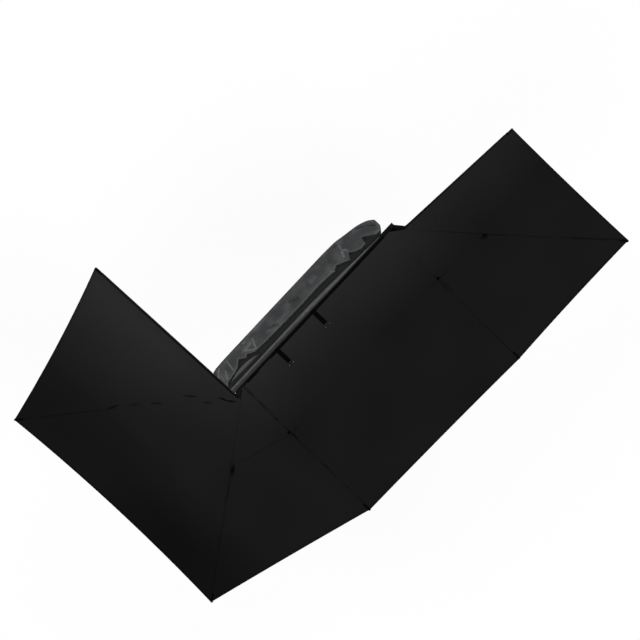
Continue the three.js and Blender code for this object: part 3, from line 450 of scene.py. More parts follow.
def mesh_piece(name, verts, faces):
    """A closed piece from points and faces, facing out."""
    data = bpy.data.meshes.new(name)
    data.from_pydata([tuple(v) for v in verts], [], faces)
    obj = placed(name, data)
    edit(
        obj,
        (bpy.ops.mesh.remove_doubles, {"threshold": 0.005 * MM}),
        (bpy.ops.mesh.normals_make_consistent, {"inside": False}),
    )
    return obj


def ringed(name, rings):
    """A closed piece from rings of points, one after the other along it."""
    count = len(rings[0])
    last = (len(rings) - 1) * count
    faces = []
    for start in range(0, last, count):
        for k in range(count):
            n = (k + 1) % count
            faces.append((start + k, start + n, start + count + n, start + count + k))
    faces += [tuple(range(count)), tuple(last + k for k in reversed(range(count)))]
    return mesh_piece(name, [point for ring in rings for point in ring], faces)


def runs(path):
    """The way a path runs at each of its points."""
    ends = [path[0], *path, path[-1]]
    return [(after - before).normalized() for before, after in zip(ends, ends[2:])]


def ribbon(name, path, across, width, thick):
    """Webbing along a path. Its width lies along one direction, and its edges are thinner."""
    side = Vector(across).normalized() * width / 2
    rings = []
    for point, run in zip(path, runs(path)):
        up = side.normalized().cross(run).normalized() * thick
        top = [point + side * s + up * (1 if abs(s) < 1 else EDGE_TOP_SHARE) for s in RIBBON_SHARES]
        under = [point + side * s + up * (0 if abs(s) < 1 else EDGE_UNDER_SHARE) for s in RIBBON_SHARES]
        rings.append(top + under[::-1])
    return ringed(name, rings)


def round_cord(name, path, radius, sides=8):
    """A round trim along a path, closed at both ends."""
    rings = []
    for point, run in zip(path, runs(path)):
        across = run.cross(Vector((0, 0, 1))).normalized()
        up = across.cross(run)
        turns = [2 * pi * k / sides for k in range(sides)]
        rings.append([point + (across * cos(turn) + up * sin(turn)) * radius for turn in turns])
    return ringed(name, rings)


def joined(pieces, name):
    """Several meshes as one piece."""
    pick(pieces[0])
    for piece in pieces:
        piece.select_set(True)
    bpy.ops.object.join()
    pieces[0].name = pieces[0].data.name = name
    return pieces[0]


def paint(obj, name, value):
    """Stores a number on each point of a piece, by a function of its place along the beam and out."""
    layer = obj.data.attributes.new(name, "FLOAT", "POINT")
    layer.data.foreach_set("value", [value(v.co.x, -v.co.y - BEAM_FACE) for v in obj.data.vertices])


def dressed(obj, slot, body, look=None):
    """Smooths a piece, gives it the finish of its slot or the look named, and lets it ride on its body."""
    pick(obj)
    bpy.ops.object.shade_smooth_by_angle(angle=radians(40))
    obj.data.materials.clear()
    obj.data.materials.append(finish(look or slot))
    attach(obj, body)
    return obj


# Finishes


def node(tree, kind, settings=None, **sockets):
    """One node with its settings. A socket's value is a number, a colour or another node's output."""
    made = tree.nodes.new(f"ShaderNode{kind}")
    for key, value in (settings or {}).items():
        setattr(made, key, value)
    for key, value in sockets.items():
        place_in_row = key[1:] if key[0] == "i" else ""
        socket = made.inputs[int(place_in_row) if place_in_row.isdigit() else key.replace("_", " ")]
        if isinstance(value, bpy.types.NodeSocket):
            tree.links.new(value, socket)
        else:
            socket.default_value = value
    return made


def new_material(name, **shader):
    """An empty material with its shader, and the object's own coordinates."""
    material = bpy.data.materials.new(name)
    material.use_nodes = True
    tree = material.node_tree
    tree.nodes.clear()
    surface = node(tree, "BsdfPrincipled", **shader)
    node(tree, "OutputMaterial", Surface=surface.outputs[0])
    return material, tree, surface, node(tree, "TexCoord").outputs["Object"]


def wired(tree, surface, **sockets):
    """Links outputs to the shader's sockets."""
    for key, value in sockets.items():
        tree.links.new(value, surface.inputs[key.replace("_", " ")])


def mixed(tree, factor, first, second):
    """Two colours, each hex digits or an output, mixed by a factor."""
    ends = [colour(end) if isinstance(end, str) else end for end in (first, second)]
    made = node(tree, "Mix", {"data_type": "RGBA"}, i6=ends[0], i7=ends[1])
    tree.links.new(factor, made.inputs[0])
    return made.outputs[2]


def spread(tree, value, low, high, to_low=0, to_high=1):
    """A value taken from one range to another."""
    made = node(tree, "MapRange", Value=value, From_Min=low, From_Max=high, To_Min=to_low, To_Max=to_high)
    return made.outputs[0]


def pressed(tree, height, depth, strength, under=None):
    """A height pattern as bumps, over others if they are given."""
    made = node(tree, "Bump", Strength=strength, Distance=depth, Height=height)
    if under is not None:
        tree.links.new(under, made.inputs["Normal"])
    return made.outputs[0]


def attribute(tree, name):
    """A number stored on the piece's points."""
    return node(tree, "Attribute", {"attribute_name": name}).outputs["Fac"]


def speckle(tree, coords, scale, detail, roughness=0.5):
    """Cloudy noise, from 0 to 1."""
    made = node(tree, "TexNoise", Vector=coords, Scale=scale, Detail=detail, Roughness=roughness)
    return made.outputs["Fac"]


def ribs(tree, coords, direction, pitch):
    """Waves across a direction, from 0 to 1. The texture has 20 of them in a full turn at scale 1."""
    scale = 2 * pi / pitch / 20
    made = node(tree, "TexWave", {"bands_direction": direction}, Vector=coords, Scale=scale)
    return made.outputs["Fac"]


def larger(tree, first, second):
    """The larger of two outputs."""
    return node(tree, "Math", {"operation": "MAXIMUM"}, i0=first, i1=second).outputs[0]


def dark_streak(tree, coords, ends, half_width, strength):
    """A long soft spot on the cloth, from 0 round it to its strength along its middle."""
    first, last = (place(*end, 0).xy for end in ends)
    run = last - first
    spot = node(tree, "Mapping", {"vector_type": "TEXTURE"}, Vector=coords)
    spot.inputs["Location"].default_value = (*((first + last) / 2), 0)
    spot.inputs["Rotation"].default_value = (0, 0, atan2(run.y, run.x))
    spot.inputs["Scale"].default_value = (run.length * 0.62 + half_width, half_width * 1.4, FAR)
    round_spot = node(tree, "TexGradient", {"gradient_type": "SPHERICAL"}, Vector=spot.outputs[0])
    return spread(tree, round_spot.outputs["Fac"], 0, 0.55, 0, strength)


def ripstop(pair, turn):
    """Polyester ripstop, dyed black: matt, with a thicker thread every 6 mm that makes a faint grid.
    It has painted sheen, greyer towards the beam and along the last arm, and painted shade towards the far rear
    edge. It is black along its seams, with painted shade along its creases."""
    material, tree, surface, coords = new_material(f"ripstop_{pair}", Roughness=0.9, Specular_IOR_Level=0.08)
    turned = node(tree, "Mapping", Vector=coords)
    turned.inputs["Rotation"].default_value = (0, 0, turn)
    grid = larger(tree, *(ribs(tree, turned.outputs[0], direction, 6 * MM) for direction in ("X", "Y")))
    threads = spread(tree, grid, 0.93, 1)
    # Painted sheen and shade: the stored tone mixes a near-black and a grey
    dark = mixed(tree, threads, "#030303", "#070707")
    pale = mixed(tree, threads, "#262626", "#2b2b2b")
    tone = mixed(tree, attribute(tree, "tone"), dark, pale)
    lines = attribute(tree, "seam")
    # Dark marks along the seams, and painted shade along creases
    for seam_name in pair:
        for first, last, half_width, strength in SEAM_MARKS_AND_CREASE_SHADE.get(seam_name, []):
            lines = larger(tree, lines, dark_streak(tree, coords, (first, last), half_width, strength))
    weave = pressed(tree, speckle(tree, coords, 900, 1), 0.2 * MM, 0.25)
    bumps = pressed(tree, threads, 0.25 * MM, 0.5, weave)
    wired(tree, surface, Base_Color=mixed(tree, lines, tone, "#020202"), Normal=bumps)
    return material


def coated_cloth():
    """PVC-coated polyester, bleached by the sun: mid grey with a soft gloss. Painted highlights make its crests
    paler, and painted shade makes it nearly black in the bag's mouth and grooves.
    """
    material, tree, surface, coords = new_material("pvc_coated_polyester", Specular_IOR_Level=0.35)
    cloud = speckle(tree, coords, 6, 5, 0.6)
    outer = mixed(tree, spread(tree, cloud, 0.3, 0.7), "#2b2c2d", "#363738")
    # Painted highlights: a paler grey on the crests
    with_highlights = mixed(tree, attribute(tree, "painted_highlight"), outer, "#5c5d5e")
    # Painted shade: nearly black in the bag's mouth, grooves and hollows, and darker on the band before the roll
    inside = attribute(tree, "inside")
    tone = mixed(tree, inside, with_highlights, "#0a0a0a")
    weave = node(tree, "TexVoronoi", Vector=coords, Scale=700).outputs["Distance"]
    crumple = speckle(tree, coords, 14, 4, 0.55)
    bumps = pressed(tree, crumple, 6 * MM, 0.5, pressed(tree, weave, 0.2 * MM, 0.2))
    wired(tree, surface, Base_Color=tone, Roughness=spread(tree, inside, 0, 1, 0.46, 0.85), Normal=bumps)
    return material


def webbing():
    """Woven polyester webbing: slanting ribs 2.5 mm apart, dull black."""
    shader = {"Roughness": 0.9, "Specular_IOR_Level": 0.03}
    material, tree, surface, coords = new_material("polyester_webbing", **shader)
    rib = ribs(tree, coords, "DIAGONAL", 2.5 * MM)
    tone = mixed(tree, rib, "#010101", "#050505")
    wired(tree, surface, Base_Color=tone, Normal=pressed(tree, rib, 0.4 * MM, 0.7))
    return material


def powder_coat():
    """Powder coat on extruded aluminium: deep black, satin, with a faint orange peel."""
    material, tree, surface, coords = new_material("powder_coated_aluminium", Specular_IOR_Level=0.12)
    dust = speckle(tree, coords, 9, 6, 0.65)
    tone = mixed(tree, spread(tree, dust, 0.45, 0.8), "#020202", "#070707")
    peel = pressed(tree, speckle(tree, coords, 420, 1), 0.15 * MM, 0.35)
    wired(tree, surface, Base_Color=tone, Roughness=spread(tree, dust, 0.3, 0.7, 0.44, 0.6), Normal=peel)
    return material


def grained(name, grain, ends, codes, depth, strength, shader, shine=None):
    """A finish whose one grain gives its two tones, its bumps and, if that varies, its roughness."""
    material, tree, surface, coords = new_material(name, **shader)
    fac = speckle(tree, coords, *grain)
    tone = mixed(tree, spread(tree, fac, *ends), *codes)
    wired(tree, surface, Base_Color=tone, Normal=pressed(tree, fac, depth, strength))
    if shine:
        wired(tree, surface, Roughness=spread(tree, fac, 0.3, 0.7, *shine))
    return material


# What makes each finish, by the record's slot or by the panel. For a grained one: scale and detail, the
# range over which the two tones are spread, the tones, depth and strength of the bumps, and its shader
MAKERS = {
    "black_powder_coat": (powder_coat,),
    "webbing": (webbing,),
    "coated_cloth": (coated_cloth,),
    **{f"ripstop_{pair}": (ripstop, pair, turn) for pair, turn in CLOTH_TURNS.items()},
    # Die-cast aluminium under a black coat: grainier than the extrusions
    "cast_black": (grained, "coated_cast_aluminium", (600, 3, 0.7), (0.4, 0.8), ("#020202", "#090909"),
                   0.4 * MM, 0.5, {"Roughness": 0.6, "Specular_IOR_Level": 0.12}),
    # Zinc-plated steel: bright and slightly milky, with a fine grain
    "steel": (grained, "zinc_plated_steel", (120, 4), (0, 1), ("#a9abad", "#d6d8da"),
              0.1 * MM, 0.3, {"Metallic": 1}, (0.2, 0.4)),
    # Steel under black zinc: dark and smooth, rubbed a little brighter in places
    "black_pin": (grained, "black_zinc_steel", (160, 4), (0.55, 0.8), ("#151515", "#6a6a6a"),
                  0.1 * MM, 0.3, {"Metallic": 1, "Roughness": 0.35}),
    # Injection-moulded nylon with a fine spark-eroded skin, white and black
    "white_nylon": (grained, "white_acetal", (800, 2), (0, 1), ("#c9c9c4", "#d4d4cf"),
                    0.15 * MM, 0.4, {"Roughness": 0.4, "Specular_IOR_Level": 0.4}),
    "black_nylon": (grained, "black_nylon", (800, 2), (0, 1), ("#070707", "#101010"),
                    0.15 * MM, 0.4, {"Roughness": 0.5, "Specular_IOR_Level": 0.4}),
}
FINISHES = {}


def finish(name):
    """A finish, made once. The canopy's CAD nodes look like its middle panel."""
    name = "ripstop_cd" if name == "canopy_cloth" else name
    if name not in FINISHES:
        make, *values = MAKERS[name]
        FINISHES[name] = make(*values)
    return FINISHES[name]


# Settings


class AwningCloth(bpy.types.PropertyGroup):
    thickness: bpy.props.FloatProperty(
        name="Thickness", description="Thickness of the canopy's cloth", default=0.9 * MM, unit="LENGTH"
    )
    columns: bpy.props.IntProperty(name="Columns", description="Faces across half a panel", default=44)
    rows: bpy.props.IntProperty(name="Rows", description="Faces along half a panel", default=84)


class AwningStage(bpy.types.PropertyGroup):
    floor_depth: bpy.props.FloatProperty(
        name="Floor depth", description="Height of the roof rack over the floor", default=2, unit="LENGTH"
    )
    floor_colour: bpy.props.FloatVectorProperty(
        name="Floor colour", description="Colour of the floor", subtype="COLOR", default=(0.95, 0.95, 0.95)
    )


# Canopy


def edge_shares(count, band, length):
    """Shares along an edge with a narrow band marked out at its start."""
    wide = min(band / length, 0.2)
    left = count - len(TURNED_SHARES)
    turned = [share * wide for share in TURNED_SHARES]
    return turned + [wide + (1 - wide) * k / left for k in range(left + 1)]


def half_panel(pair, arm, cloth):
    """Half a canopy panel, from its arm's seam to the panel's middle."""
    at = sector(pair)
    middle = APEX_SHARE if pair == "cd" else 0
    length = (seam(arm)[1] - seam(arm)[0]).length
    edge = pair.index(arm)
    rows = []
    for t in [1 - share for share in reversed(edge_shares(cloth.rows, TURNED_HEM, length))]:
        # from the seam at this share outwards to the panel's middle
        inner_t = middle + (1 - middle) * t
        near = at(edge, t)
        far = at(0.5, inner_t)
        shares = edge_shares(cloth.columns, TURNED_SEAM, max((far - near).length, 0.02))
        rows.append([at(edge + (0.5 - edge) * u, t + (inner_t - t) * u) for u in shares])
    return sheet_of_points(f"canopy_{pair}_{arm}", rows)


def beam_part(cloth):
    """The part of the middle panel that stays with the beam."""
    at = sector("cd")
    count = cloth.rows
    rows = []
    for v in edge_shares(cloth.columns, TURNED_SEAM, max((at(0.5, APEX_SHARE) - at(0, 0)).length, 0.02)):
        left, right = 0.5 * v, 1 - 0.5 * v
        rows.append([at(left + (right - left) * k / count, APEX_SHARE * v) for k in range(count + 1)])
    return sheet_of_points("canopy_cd_beam", rows)


def hem_of(pair):
    """An outer hem: its first corner, its run, the way in and how far it bows."""
    first, last = (seam(letter)[1].xy for letter in pair)
    run = last - first
    side = Vector((-run.y, run.x)).normalized()
    side *= 1 if side.dot(Vector((0, -BEAM_FACE)) - first) > 0 else -1
    return first, run, side, run.length * BOW_SHARES[pair]


HEMS = [hem_of(pair) for pair in BOW_SHARES]
SEAM_LINES = {name: seam(name) for name in SEAM_SHOWS}


def linear(value):
    """A step of 255 on screen as linear light."""
    return (value / 255 / 12.92) if value < 10.3 else ((value / 255 + 0.055) / 1.055) ** 2.4


def cloth_sheen_and_shade(x, out):
    """How pale the canopy's cloth is at a point, from 0 to 1: painted sheen by the beam and along the last arm,
    painted shade towards the far rear edge, and a faint random cloud.
    """
    past = max(0, abs(x) - BEAM_END)
    fade = max(0, 1 - max(out, 0) / BEAM_FADE)
    sheen_by_beam = BEAM_SHEEN * fade * (1 - (1 - FRONT_SHARE) * min(1, past / FRONT_FADE))
    sheen_and_shade_by_arm = between(REAR_SHEEN, out) * clamp(1 - (-x - REAR_START) / REAR_FADE)
    sheen_and_shade_by_arm -= between(EDGE_SHADE, out) * clamp((-x - EDGE_START) / EDGE_FADE)
    look = PLAIN + sheen_by_beam + (sheen_and_shade_by_arm - sheen_by_beam) * bump(-x, *REAR_BLEND)
    look += CLOUD_GAIN * ripple(x * CLOUD_TURNS, out * CLOUD_TURNS, 2)
    return clamp((linear(look) - linear(DARKEST)) / (linear(PALEST) - linear(DARKEST)))


def hem_line(x, out):
    """How near a point lies to the canopy's outer hems, from 0 to 1."""
    here = place(x, out, 0).xy
    best = 0
    for first, run, inward, bow in HEMS:
        share = (here - first).dot(run) / run.length_squared
        if 0 <= share <= 1:
            deep = (here - first).dot(inward) - bow * 4 * share * (1 - share)
            best = max(best, 1 - max(0, deep) / HEM_WIDTH)
    return best


def seam_line(x, out):
    """How strongly a seam shows at a point, from 0 to 1."""
    best = HEM_SHOWS * hem_line(x, out)
    for name, (start, tip) in SEAM_LINES.items():
        run = (tip - start).xy
        here = place(x, out, 0).xy - start.xy
        share = here.dot(run) / run.length_squared
        if not -0.001 <= share <= 1.02:
            continue
        off = abs(here.cross(run) / run.length + SEAM_WANDER * ripple(share * 9, ord(name), 1.5))
        broken = 0.75 + 0.6 * ripple(share * 22, ord(name), 0.5)
        edge = 1 - max(0, off - SEAM_HALF) / SEAM_SOFT
        best = max(best, between(SEAM_SHOWS[name], share) * broken * edge)
    return clamp(best)


def canopy_piece(obj, pair, body, held_by, fold, **squash):
    """Gives a piece of the canopy its thickness, its painted sheen and shade, its dark seams and its finish, and
    lets it ride on its body.
    """
    thickness = bpy.context.scene.awning_cloth.thickness
    apply(obj, "SOLIDIFY", "thickness", thickness=thickness, offset=0)
    # Painted sheen and shade, stored on the points as the tone
    paint(obj, "tone", cloth_sheen_and_shade)
    paint(obj, "seam", seam_line)
    dressed(obj, "canopy_cloth", body, f"ripstop_{pair}")
    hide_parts(f"canopy_panel_{pair}")
    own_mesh(obj)


class AWNING_OT_canopy(bpy.types.Operator):
    """Makes the canopy's panels"""

    bl_idname = "awning.canopy"
    bl_label = "Canopy"

    def execute(self, context):
        cloth = context.scene.awning_cloth
        for pair, arm in HALVES:
            obj = half_panel(pair, arm, cloth)
            fan, turn, body = FANS[arm], heading(arm), f"arm_{arm}"
            canopy_piece(
                obj, pair, body, f"{body}_tube", f"{body}_fold",
                axis=(-sin(turn), cos(turn), 0),
                anchor=tuple(on_arm(arm, 0, FOLD_ASIDE[fan], 0)),
                keep=FOLD_KEEP[fan],
            )
        obj = beam_part(cloth)
        anchor = tuple(place(0, BEAM_FOLD_OUT, ROOT_UP))
        canopy_piece(obj, "cd", "base", "backing_beam", "arm_d_fold", anchor=anchor, **BEAM_FOLD)
        return {"FINISHED"}


# Travel cover


def far_edge(x):
    """How far back the cover reaches at a place along it, with its corners rounded."""
    return sum(between(FAR_EDGE, x + step) for step in CORNER_STEPS) / len(CORNER_STEPS)


def tongue(x, back):
    """How much a place belongs to the tongue that lies in the bag's mouth, from 0 to 1."""
    if not TONGUE[0][0] < x < TONGUE[-1][0]:
        return 0
    top = between(TONGUE, x)
    low = between([(along, under) for along, _, under in TONGUE], x)
    return bump(back, low - 0.002, low + 0.004) * (1 - bump(back, top - 0.003, top + 0.002))


def cover_fold(fold, x, back):
    """How near a place is to one of the cover's folds, from 0 to about 1."""
    (x0, b0), (x1, b1), _, width = fold
    run = Vector((x1 - x0, b1 - b0))
    here = Vector((x - x0, back - b0))
    share = clamp(here.dot(run) / run.length_squared)
    off = (here - run * share).length
    if off >= 3 * width:
        return 0
    taper = sqrt(max(0, 1 - (2 * share - 1) ** 4))
    return exp(-((off / width) ** 2)) * taper * (1 + 0.5 * ripple(x * 40, back * 40, 9))


def cover_top(x, back):
    """The cover's height over its seat, and from 0 to 1 its painted shade, in the bag's mouth and its hollows, and
    its painted highlights, on its crests.
    """
    far, near_edge = far_edge(x), between(NEAR_EDGE, x)
    roll, start = between(ROLL_EDGE, x), between(ROLL_START, x)
    mouth = min(between(MOUTH_EDGE, x) + 0.004 * ripple(x * 30, 0, 5), far - 0.03)
    across = clamp((back - mouth) / (far - mouth))
    wave = 0.1 * ripple(x * 3.1, 0, 1)
    crown = (0.55 + 0.45 * sin(pi * min(1, 0.12 + across * 0.8))) * (1 + wave)
    end = min(1, (x - COVER_REAR) / END_ROUNDS[0], (COVER_FRONT - x) / END_ROUNDS[1])
    round_end = sqrt(max(0, 1 - (1 - max(0, end)) ** 2))
    past = max(0, (across - EDGE_ROLL_SHARE) / (1 - EDGE_ROLL_SHARE))
    edge_roll = sqrt(max(0, 1 - past**2))
    flap = FLAP_HIGH * crown * bump(back, mouth - 0.002, mouth + 0.006) * (0.2 + 0.8 * edge_roll)
    middle = (roll + start) / 2
    half = max(0.004, (roll - start) / 2)
    on_roll = 1 - ((back - middle) / half) ** 2
    tube = ROLL_HIGH * sqrt(max(0, on_roll)) * (1 + 0.2 * ripple(x * 16, back * 20, 7))
    band = BAND_HIGH * bump(back, near_edge, near_edge + 0.006) if back < middle else 0
    on = tongue(x, back)
    height = max(flap, tube, band, TONGUE_HIGH * on)
    # Painted shade in the bag's mouth and on the band before the roll, none on the tongue
    inside = (1 - bump(back, mouth - 0.004, mouth + 0.004)) * bump(back, roll - 0.003, roll + 0.002)
    inside *= 1 - on
    inside = max(inside, 0.6 * (1 - bump(back, start - 0.004, start + 0.002)))
    in_roll = abs(back - middle) < half
    # Painted highlights along the roll's top and the tongue's middle
    painted_highlight = (0.5 + 0.4 * ripple(x * 6, 1, 1)) * on_roll if in_roll else 0
    painted_highlight += 0.5 * (1 - abs(2 * (back - TONGUE_MIDDLE) / TONGUE_WIDE)) * on
    if back > mouth or in_roll:
        # Grooves add painted shade, ridges painted highlights
        for fold in COVER_FOLDS:
            near, rise = cover_fold(fold, x, back), fold[2]
            height += rise * near
            if rise < 0:
                inside = max(inside, near * min(1, -rise / 0.006))
            else:
                painted_highlight = max(painted_highlight, near * min(1, rise / 0.007))
        rumple = ripple(x * 8, back * 13, 0)
        height += (0.006 * rumple + 0.0022 * ripple(x * 24, back * 22, 3)) * edge_roll
        # Painted shade in the rumples' hollows; painted highlights on their tops and along the mouth's edge
        inside = max(inside, -0.35 * rumple)
        painted_highlight = max(painted_highlight, 0.55 * rumple, 0.35 * exp(-(((back - mouth - 0.012) / 0.01) ** 2)))
    return FLOOR_LIFT + max(0, height) * round_end, inside, clamp(painted_highlight)


def cover_under(x, back):
    """The same for its flat underside: level, with a little painted shade and no painted highlight."""
    return UNDER_LIFT, 0.3, 0


def cover_faces():
    """The faces of the cover's closed skin: its top, its flat underside and its four sides."""
    wide, under_wide = COVER_ROWS + 1, UNDER_ROWS + 1
    low = wide * (COVER_COLUMNS + 1)
    faces = []
    for i in range(COVER_COLUMNS):
        a, b = i * wide, (i + 1) * wide
        c, d = low + i * under_wide, low + (i + 1) * under_wide
        faces += [(a + j, a + j + 1, b + j + 1, b + j) for j in range(COVER_ROWS)]
        faces += [(c + j, d + j, d + j + 1, c + j + 1) for j in range(UNDER_ROWS)]
        faces += [(a, b, d, c), (a + COVER_ROWS, c + UNDER_ROWS, d + UNDER_ROWS, b + COVER_ROWS)]
    for i in (0, COVER_COLUMNS):
        top = [i * wide + j for j in range(wide)]
        under = [low + i * under_wide + j for j in reversed(range(under_wide))]
        faces.append(tuple(top + under))
    return faces


class AWNING_OT_cover(bpy.types.Operator):
    """Makes the travel cover"""

    bl_idname = "awning.cover"
    bl_label = "Travel cover"

    def execute(self, context):
        # Painted shade and painted highlights, stored on the cover's points
        verts, looks = [], {"inside": [], "painted_highlight": []}
        for count, surface in ((COVER_ROWS, cover_top), (UNDER_ROWS, cover_under)):
            for x in stations(COVER_REAR, COVER_FRONT, COVER_COLUMNS + 1):
                for back in stations(between(NEAR_EDGE, x), far_edge(x), count + 1):
                    height, *values = surface(x, back)
                    verts.append(place(x, -back, COVER_BASE + height))
                    for kind, value in zip(looks, values):
                        looks[kind].append(value)
        obj = mesh_piece("travel_cover_bag", verts, cover_faces())
        for kind, values in looks.items():
            obj.data.attributes.new(kind, "FLOAT", "POINT").data.foreach_set("value", values)
        apply(obj, "SOLIDIFY", "cloth", thickness=COVER_THICK, offset=-1)
        dressed(obj, "coated_cloth", "base")
        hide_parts("travel_cover")
        edge = stations(COVER_REAR + PIPING_INSET, COVER_FRONT - PIPING_INSET, 120)
        path = [place(x, -far_edge(x) - 0.001, COVER_BASE + 0.006) for x in edge]
        dressed(round_cord("cover_piping", path, PIPING), "webbing", "base")
        return {"FINISHED"}


# Straps, ties and loops of webbing


def cloth_up(x, out):
    """Height of the middle panel's cloth over the arms' top."""
    at = sector("cd")
    start_c, tip_c = seam("c")
    start_d, tip_d = seam("d")
    share = (start_c.x - x) / (start_c.x - start_d.x)
    length = (start_c.y - tip_c.y) * (1 - share) + (start_d.y - tip_d.y) * share
    return at(clamp(share), clamp((out - BEAM_FOLD_OUT) / length)).z - ARM_TOP


def buckle(name, x):
    """A ladder buckle on the strap's end, and the two steel ends of its bar."""
    up = cloth_up(x, STRAP_REACH) + BUCKLE_UP
    near, far = STRAP_REACH + BUCKLE_GAP, STRAP_REACH + BUCKLE_LONG
    side, start, end = BUCKLE_HALF - BUCKLE_INSET, near + BUCKLE_INSET, far - 2 * BUCKLE_INSET
    bar = near + BUCKLE_BAR
    rails = [
        ([(-side, start), (-side, end)], 0.0032),
        ([(side, start), (side, end)], 0.0032),
        ([(-side, start), (side, start)], 0.0028),
        ([(-side, bar), (side, bar)], 0.0026),
        ([(-side, end), (-0.012, far - 0.002), (0.012, far - 0.002), (side, end)], 0.003),
    ]
    pieces = [
        round_cord("rail", [place(x + aside, out, up) for aside, out in points], radius, 10)
        for points, radius in rails
    ]
    obj = joined(pieces, f"{name}_buckle_frame")
    apply(obj, "REMESH", "melt", mode="VOXEL", voxel_size=0.7 * MM)
    apply(obj, "SMOOTH", "soften", factor=0.5, iterations=3)
    dressed(obj, "black_nylon", "base")
    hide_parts(f"{name}_buckle")
    reaches = (BUCKLE_HALF - STUD_INSET, BUCKLE_HALF + BUCKLE_GAP)
    for side, end in ((-1, "rear"), (1, "front")):
        path = [place(x + side * reach, far - 0.005, up + 0.003) for reach in reaches]
        dressed(round_cord(f"{name}_buckle_pin_{end}", path, STUD_RADIUS, 12), "steel", "base")


class AWNING_OT_straps(bpy.types.Operator):
    """Makes the cover's straps and their buckles"""

    bl_idname = "awning.straps"
    bl_label = "Straps"

    def execute(self, context):
        for name, x in STRAPS.items():
            path = [place(x, -0.031, COVER_BASE + 0.0004), place(x, -0.024, COVER_BASE + 0.0006)]
            path += [place(x, out, up) for out, up in STRAP_TUCK]
            for out in stations(0.004, STRAP_REACH, 34):
                lift = STRAP_LIFT + STRAP_LIFT * (1 + sin(out * 70 + x * 9)) * min(1, out / 0.05)
                path.append(place(x, out, cloth_up(x, out) + lift + 0.0006))
            obj = ribbon(f"{name}_strap_webbing", path, (1, 0, 0), STRAP_WIDTH, STRAP_THICK)
            dressed(obj, "webbing", "base")
            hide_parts(f"{name}_strap")
            buckle(name, x)
        return {"FINISHED"}


def corner_loop(name):
    """A loop from the cloth's top round the arm's nose and back under it."""
    top = -arm_drop(name)
    low = top - ARM_HEIGHT
    start, tip = seam(name)
    root = on_arm(name, 0, 0, 0)
    corner_at = (tip - root).xy.dot((on_arm(name, 1, 0, 0) - root).xy)
    nose = max(REACHES[name], corner_at) + 0.001
    path = []
    for back in stations(*LOOP_ON_TOP, 14):
        along = nose - back
        share = 1 - (corner_at - along) / (tip - start).length
        height = on_seam(name, min(1, share)).z - ARM_TOP
        path.append(on_arm(name, along, 0, max(height, top) + 0.0012))
    front = ((0.0025, top - 0.004), (0.0035, top - 0.012), (0.0035, low + 0.012), (0.002, low + 0.005))
    path += [on_arm(name, nose + ahead, 0, up) for ahead, up in front]
    path += [on_arm(name, nose - back, 0, low - 0.0008) for back in stations(*LOOP_UNDER, 6)]
    turn = heading(name)
    obj = ribbon(f"corner_loop_{name}", path, (sin(turn), -cos(turn), 0), LOOP_WIDTH, LOOP_THICK)
    dressed(obj, "webbing", f"arm_{name}")


def tie(name, along):
    """A tie round the arm, and over it on the cloth a square patch sewn down with a cross."""
    high = -arm_drop(name)
    low = high - ARM_HEIGHT
    half, corner = ARM_WIDTH / 2 + 0.2 * MM, TIE_CORNER
    ring = [(-half, high - corner), (-half, low + corner), (-half + corner, low), (half - corner, low),
            (half, low + corner), (half, high - corner), (half - corner, high), (-half + corner, high)]
    path = [on_arm(name, along, out, up) for out, up in [*ring, ring[0]]]
    run = Vector((cos(heading(name)), sin(heading(name)), 0)) * -SIDES[FANS[name]]
    dressed(ribbon(f"arm_tie_{name}", path, run, TIE_WIDTH, TIE_THICK), "webbing", f"arm_{name}")
    start, tip = seam(name)
    over = on_seam(name, along / (tip - start).length).z - ARM_TOP + 0.6 * MM
    path = [on_arm(name, along + u, 0, over) for u in stations(-PATCH_HALF, PATCH_HALF, 9)]
    pieces = [ribbon(f"stitch_patch_{name}", path, run.cross(Vector((0, 0, 1))), 2 * PATCH_HALF, TIE_THICK)]
    for u0, v0, u1, v1 in CROSS:
        ends = []
        for k in stations(0, 1, 7):
            u, v = ((a + (b - a) * k) * PATCH_HALF * CROSS_SHARE for a, b in ((u0, u1), (v0, v1)))
            ends.append(on_arm(name, along + u, v, over + 1.2 * MM))
        pieces.append(round_cord(f"stitch_{name}", ends, THREAD, 6))
    sewn = dressed(joined(pieces, f"stitch_patch_{name}"), "webbing", f"arm_{name}")
    anchor = tuple(on_arm(name, along, 0, high + 2 * MM))
    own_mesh(sewn)


class AWNING_OT_ties(bpy.types.Operator):
    """Makes the loops at the canopy's corners and the ties round the arms"""

    bl_idname = "awning.ties"
    bl_label = "Ties and loops"

    def execute(self, context):
        for name in REACHES:
            corner_loop(name)
        for name, along in MARKS.items():
            tie(name, along)
        return {"FINISHED"}


# Stage


def make_camera():
    """Straight over the awning, turned as the photograph is."""
    data = bpy.data.cameras.new("camera")
    data.sensor_width = SENSOR
    data.lens = SENSOR * CAMERA_HEIGHT / VIEW_WIDTH
    data.clip_end = FAR
    camera = placed("camera", data)
    camera.location = place(*VIEW_MIDDLE, CAMERA_HEIGHT)
    camera.rotation_euler = (0, 0, radians(VIEW_TURN))
    bpy.context.scene.camera = camera


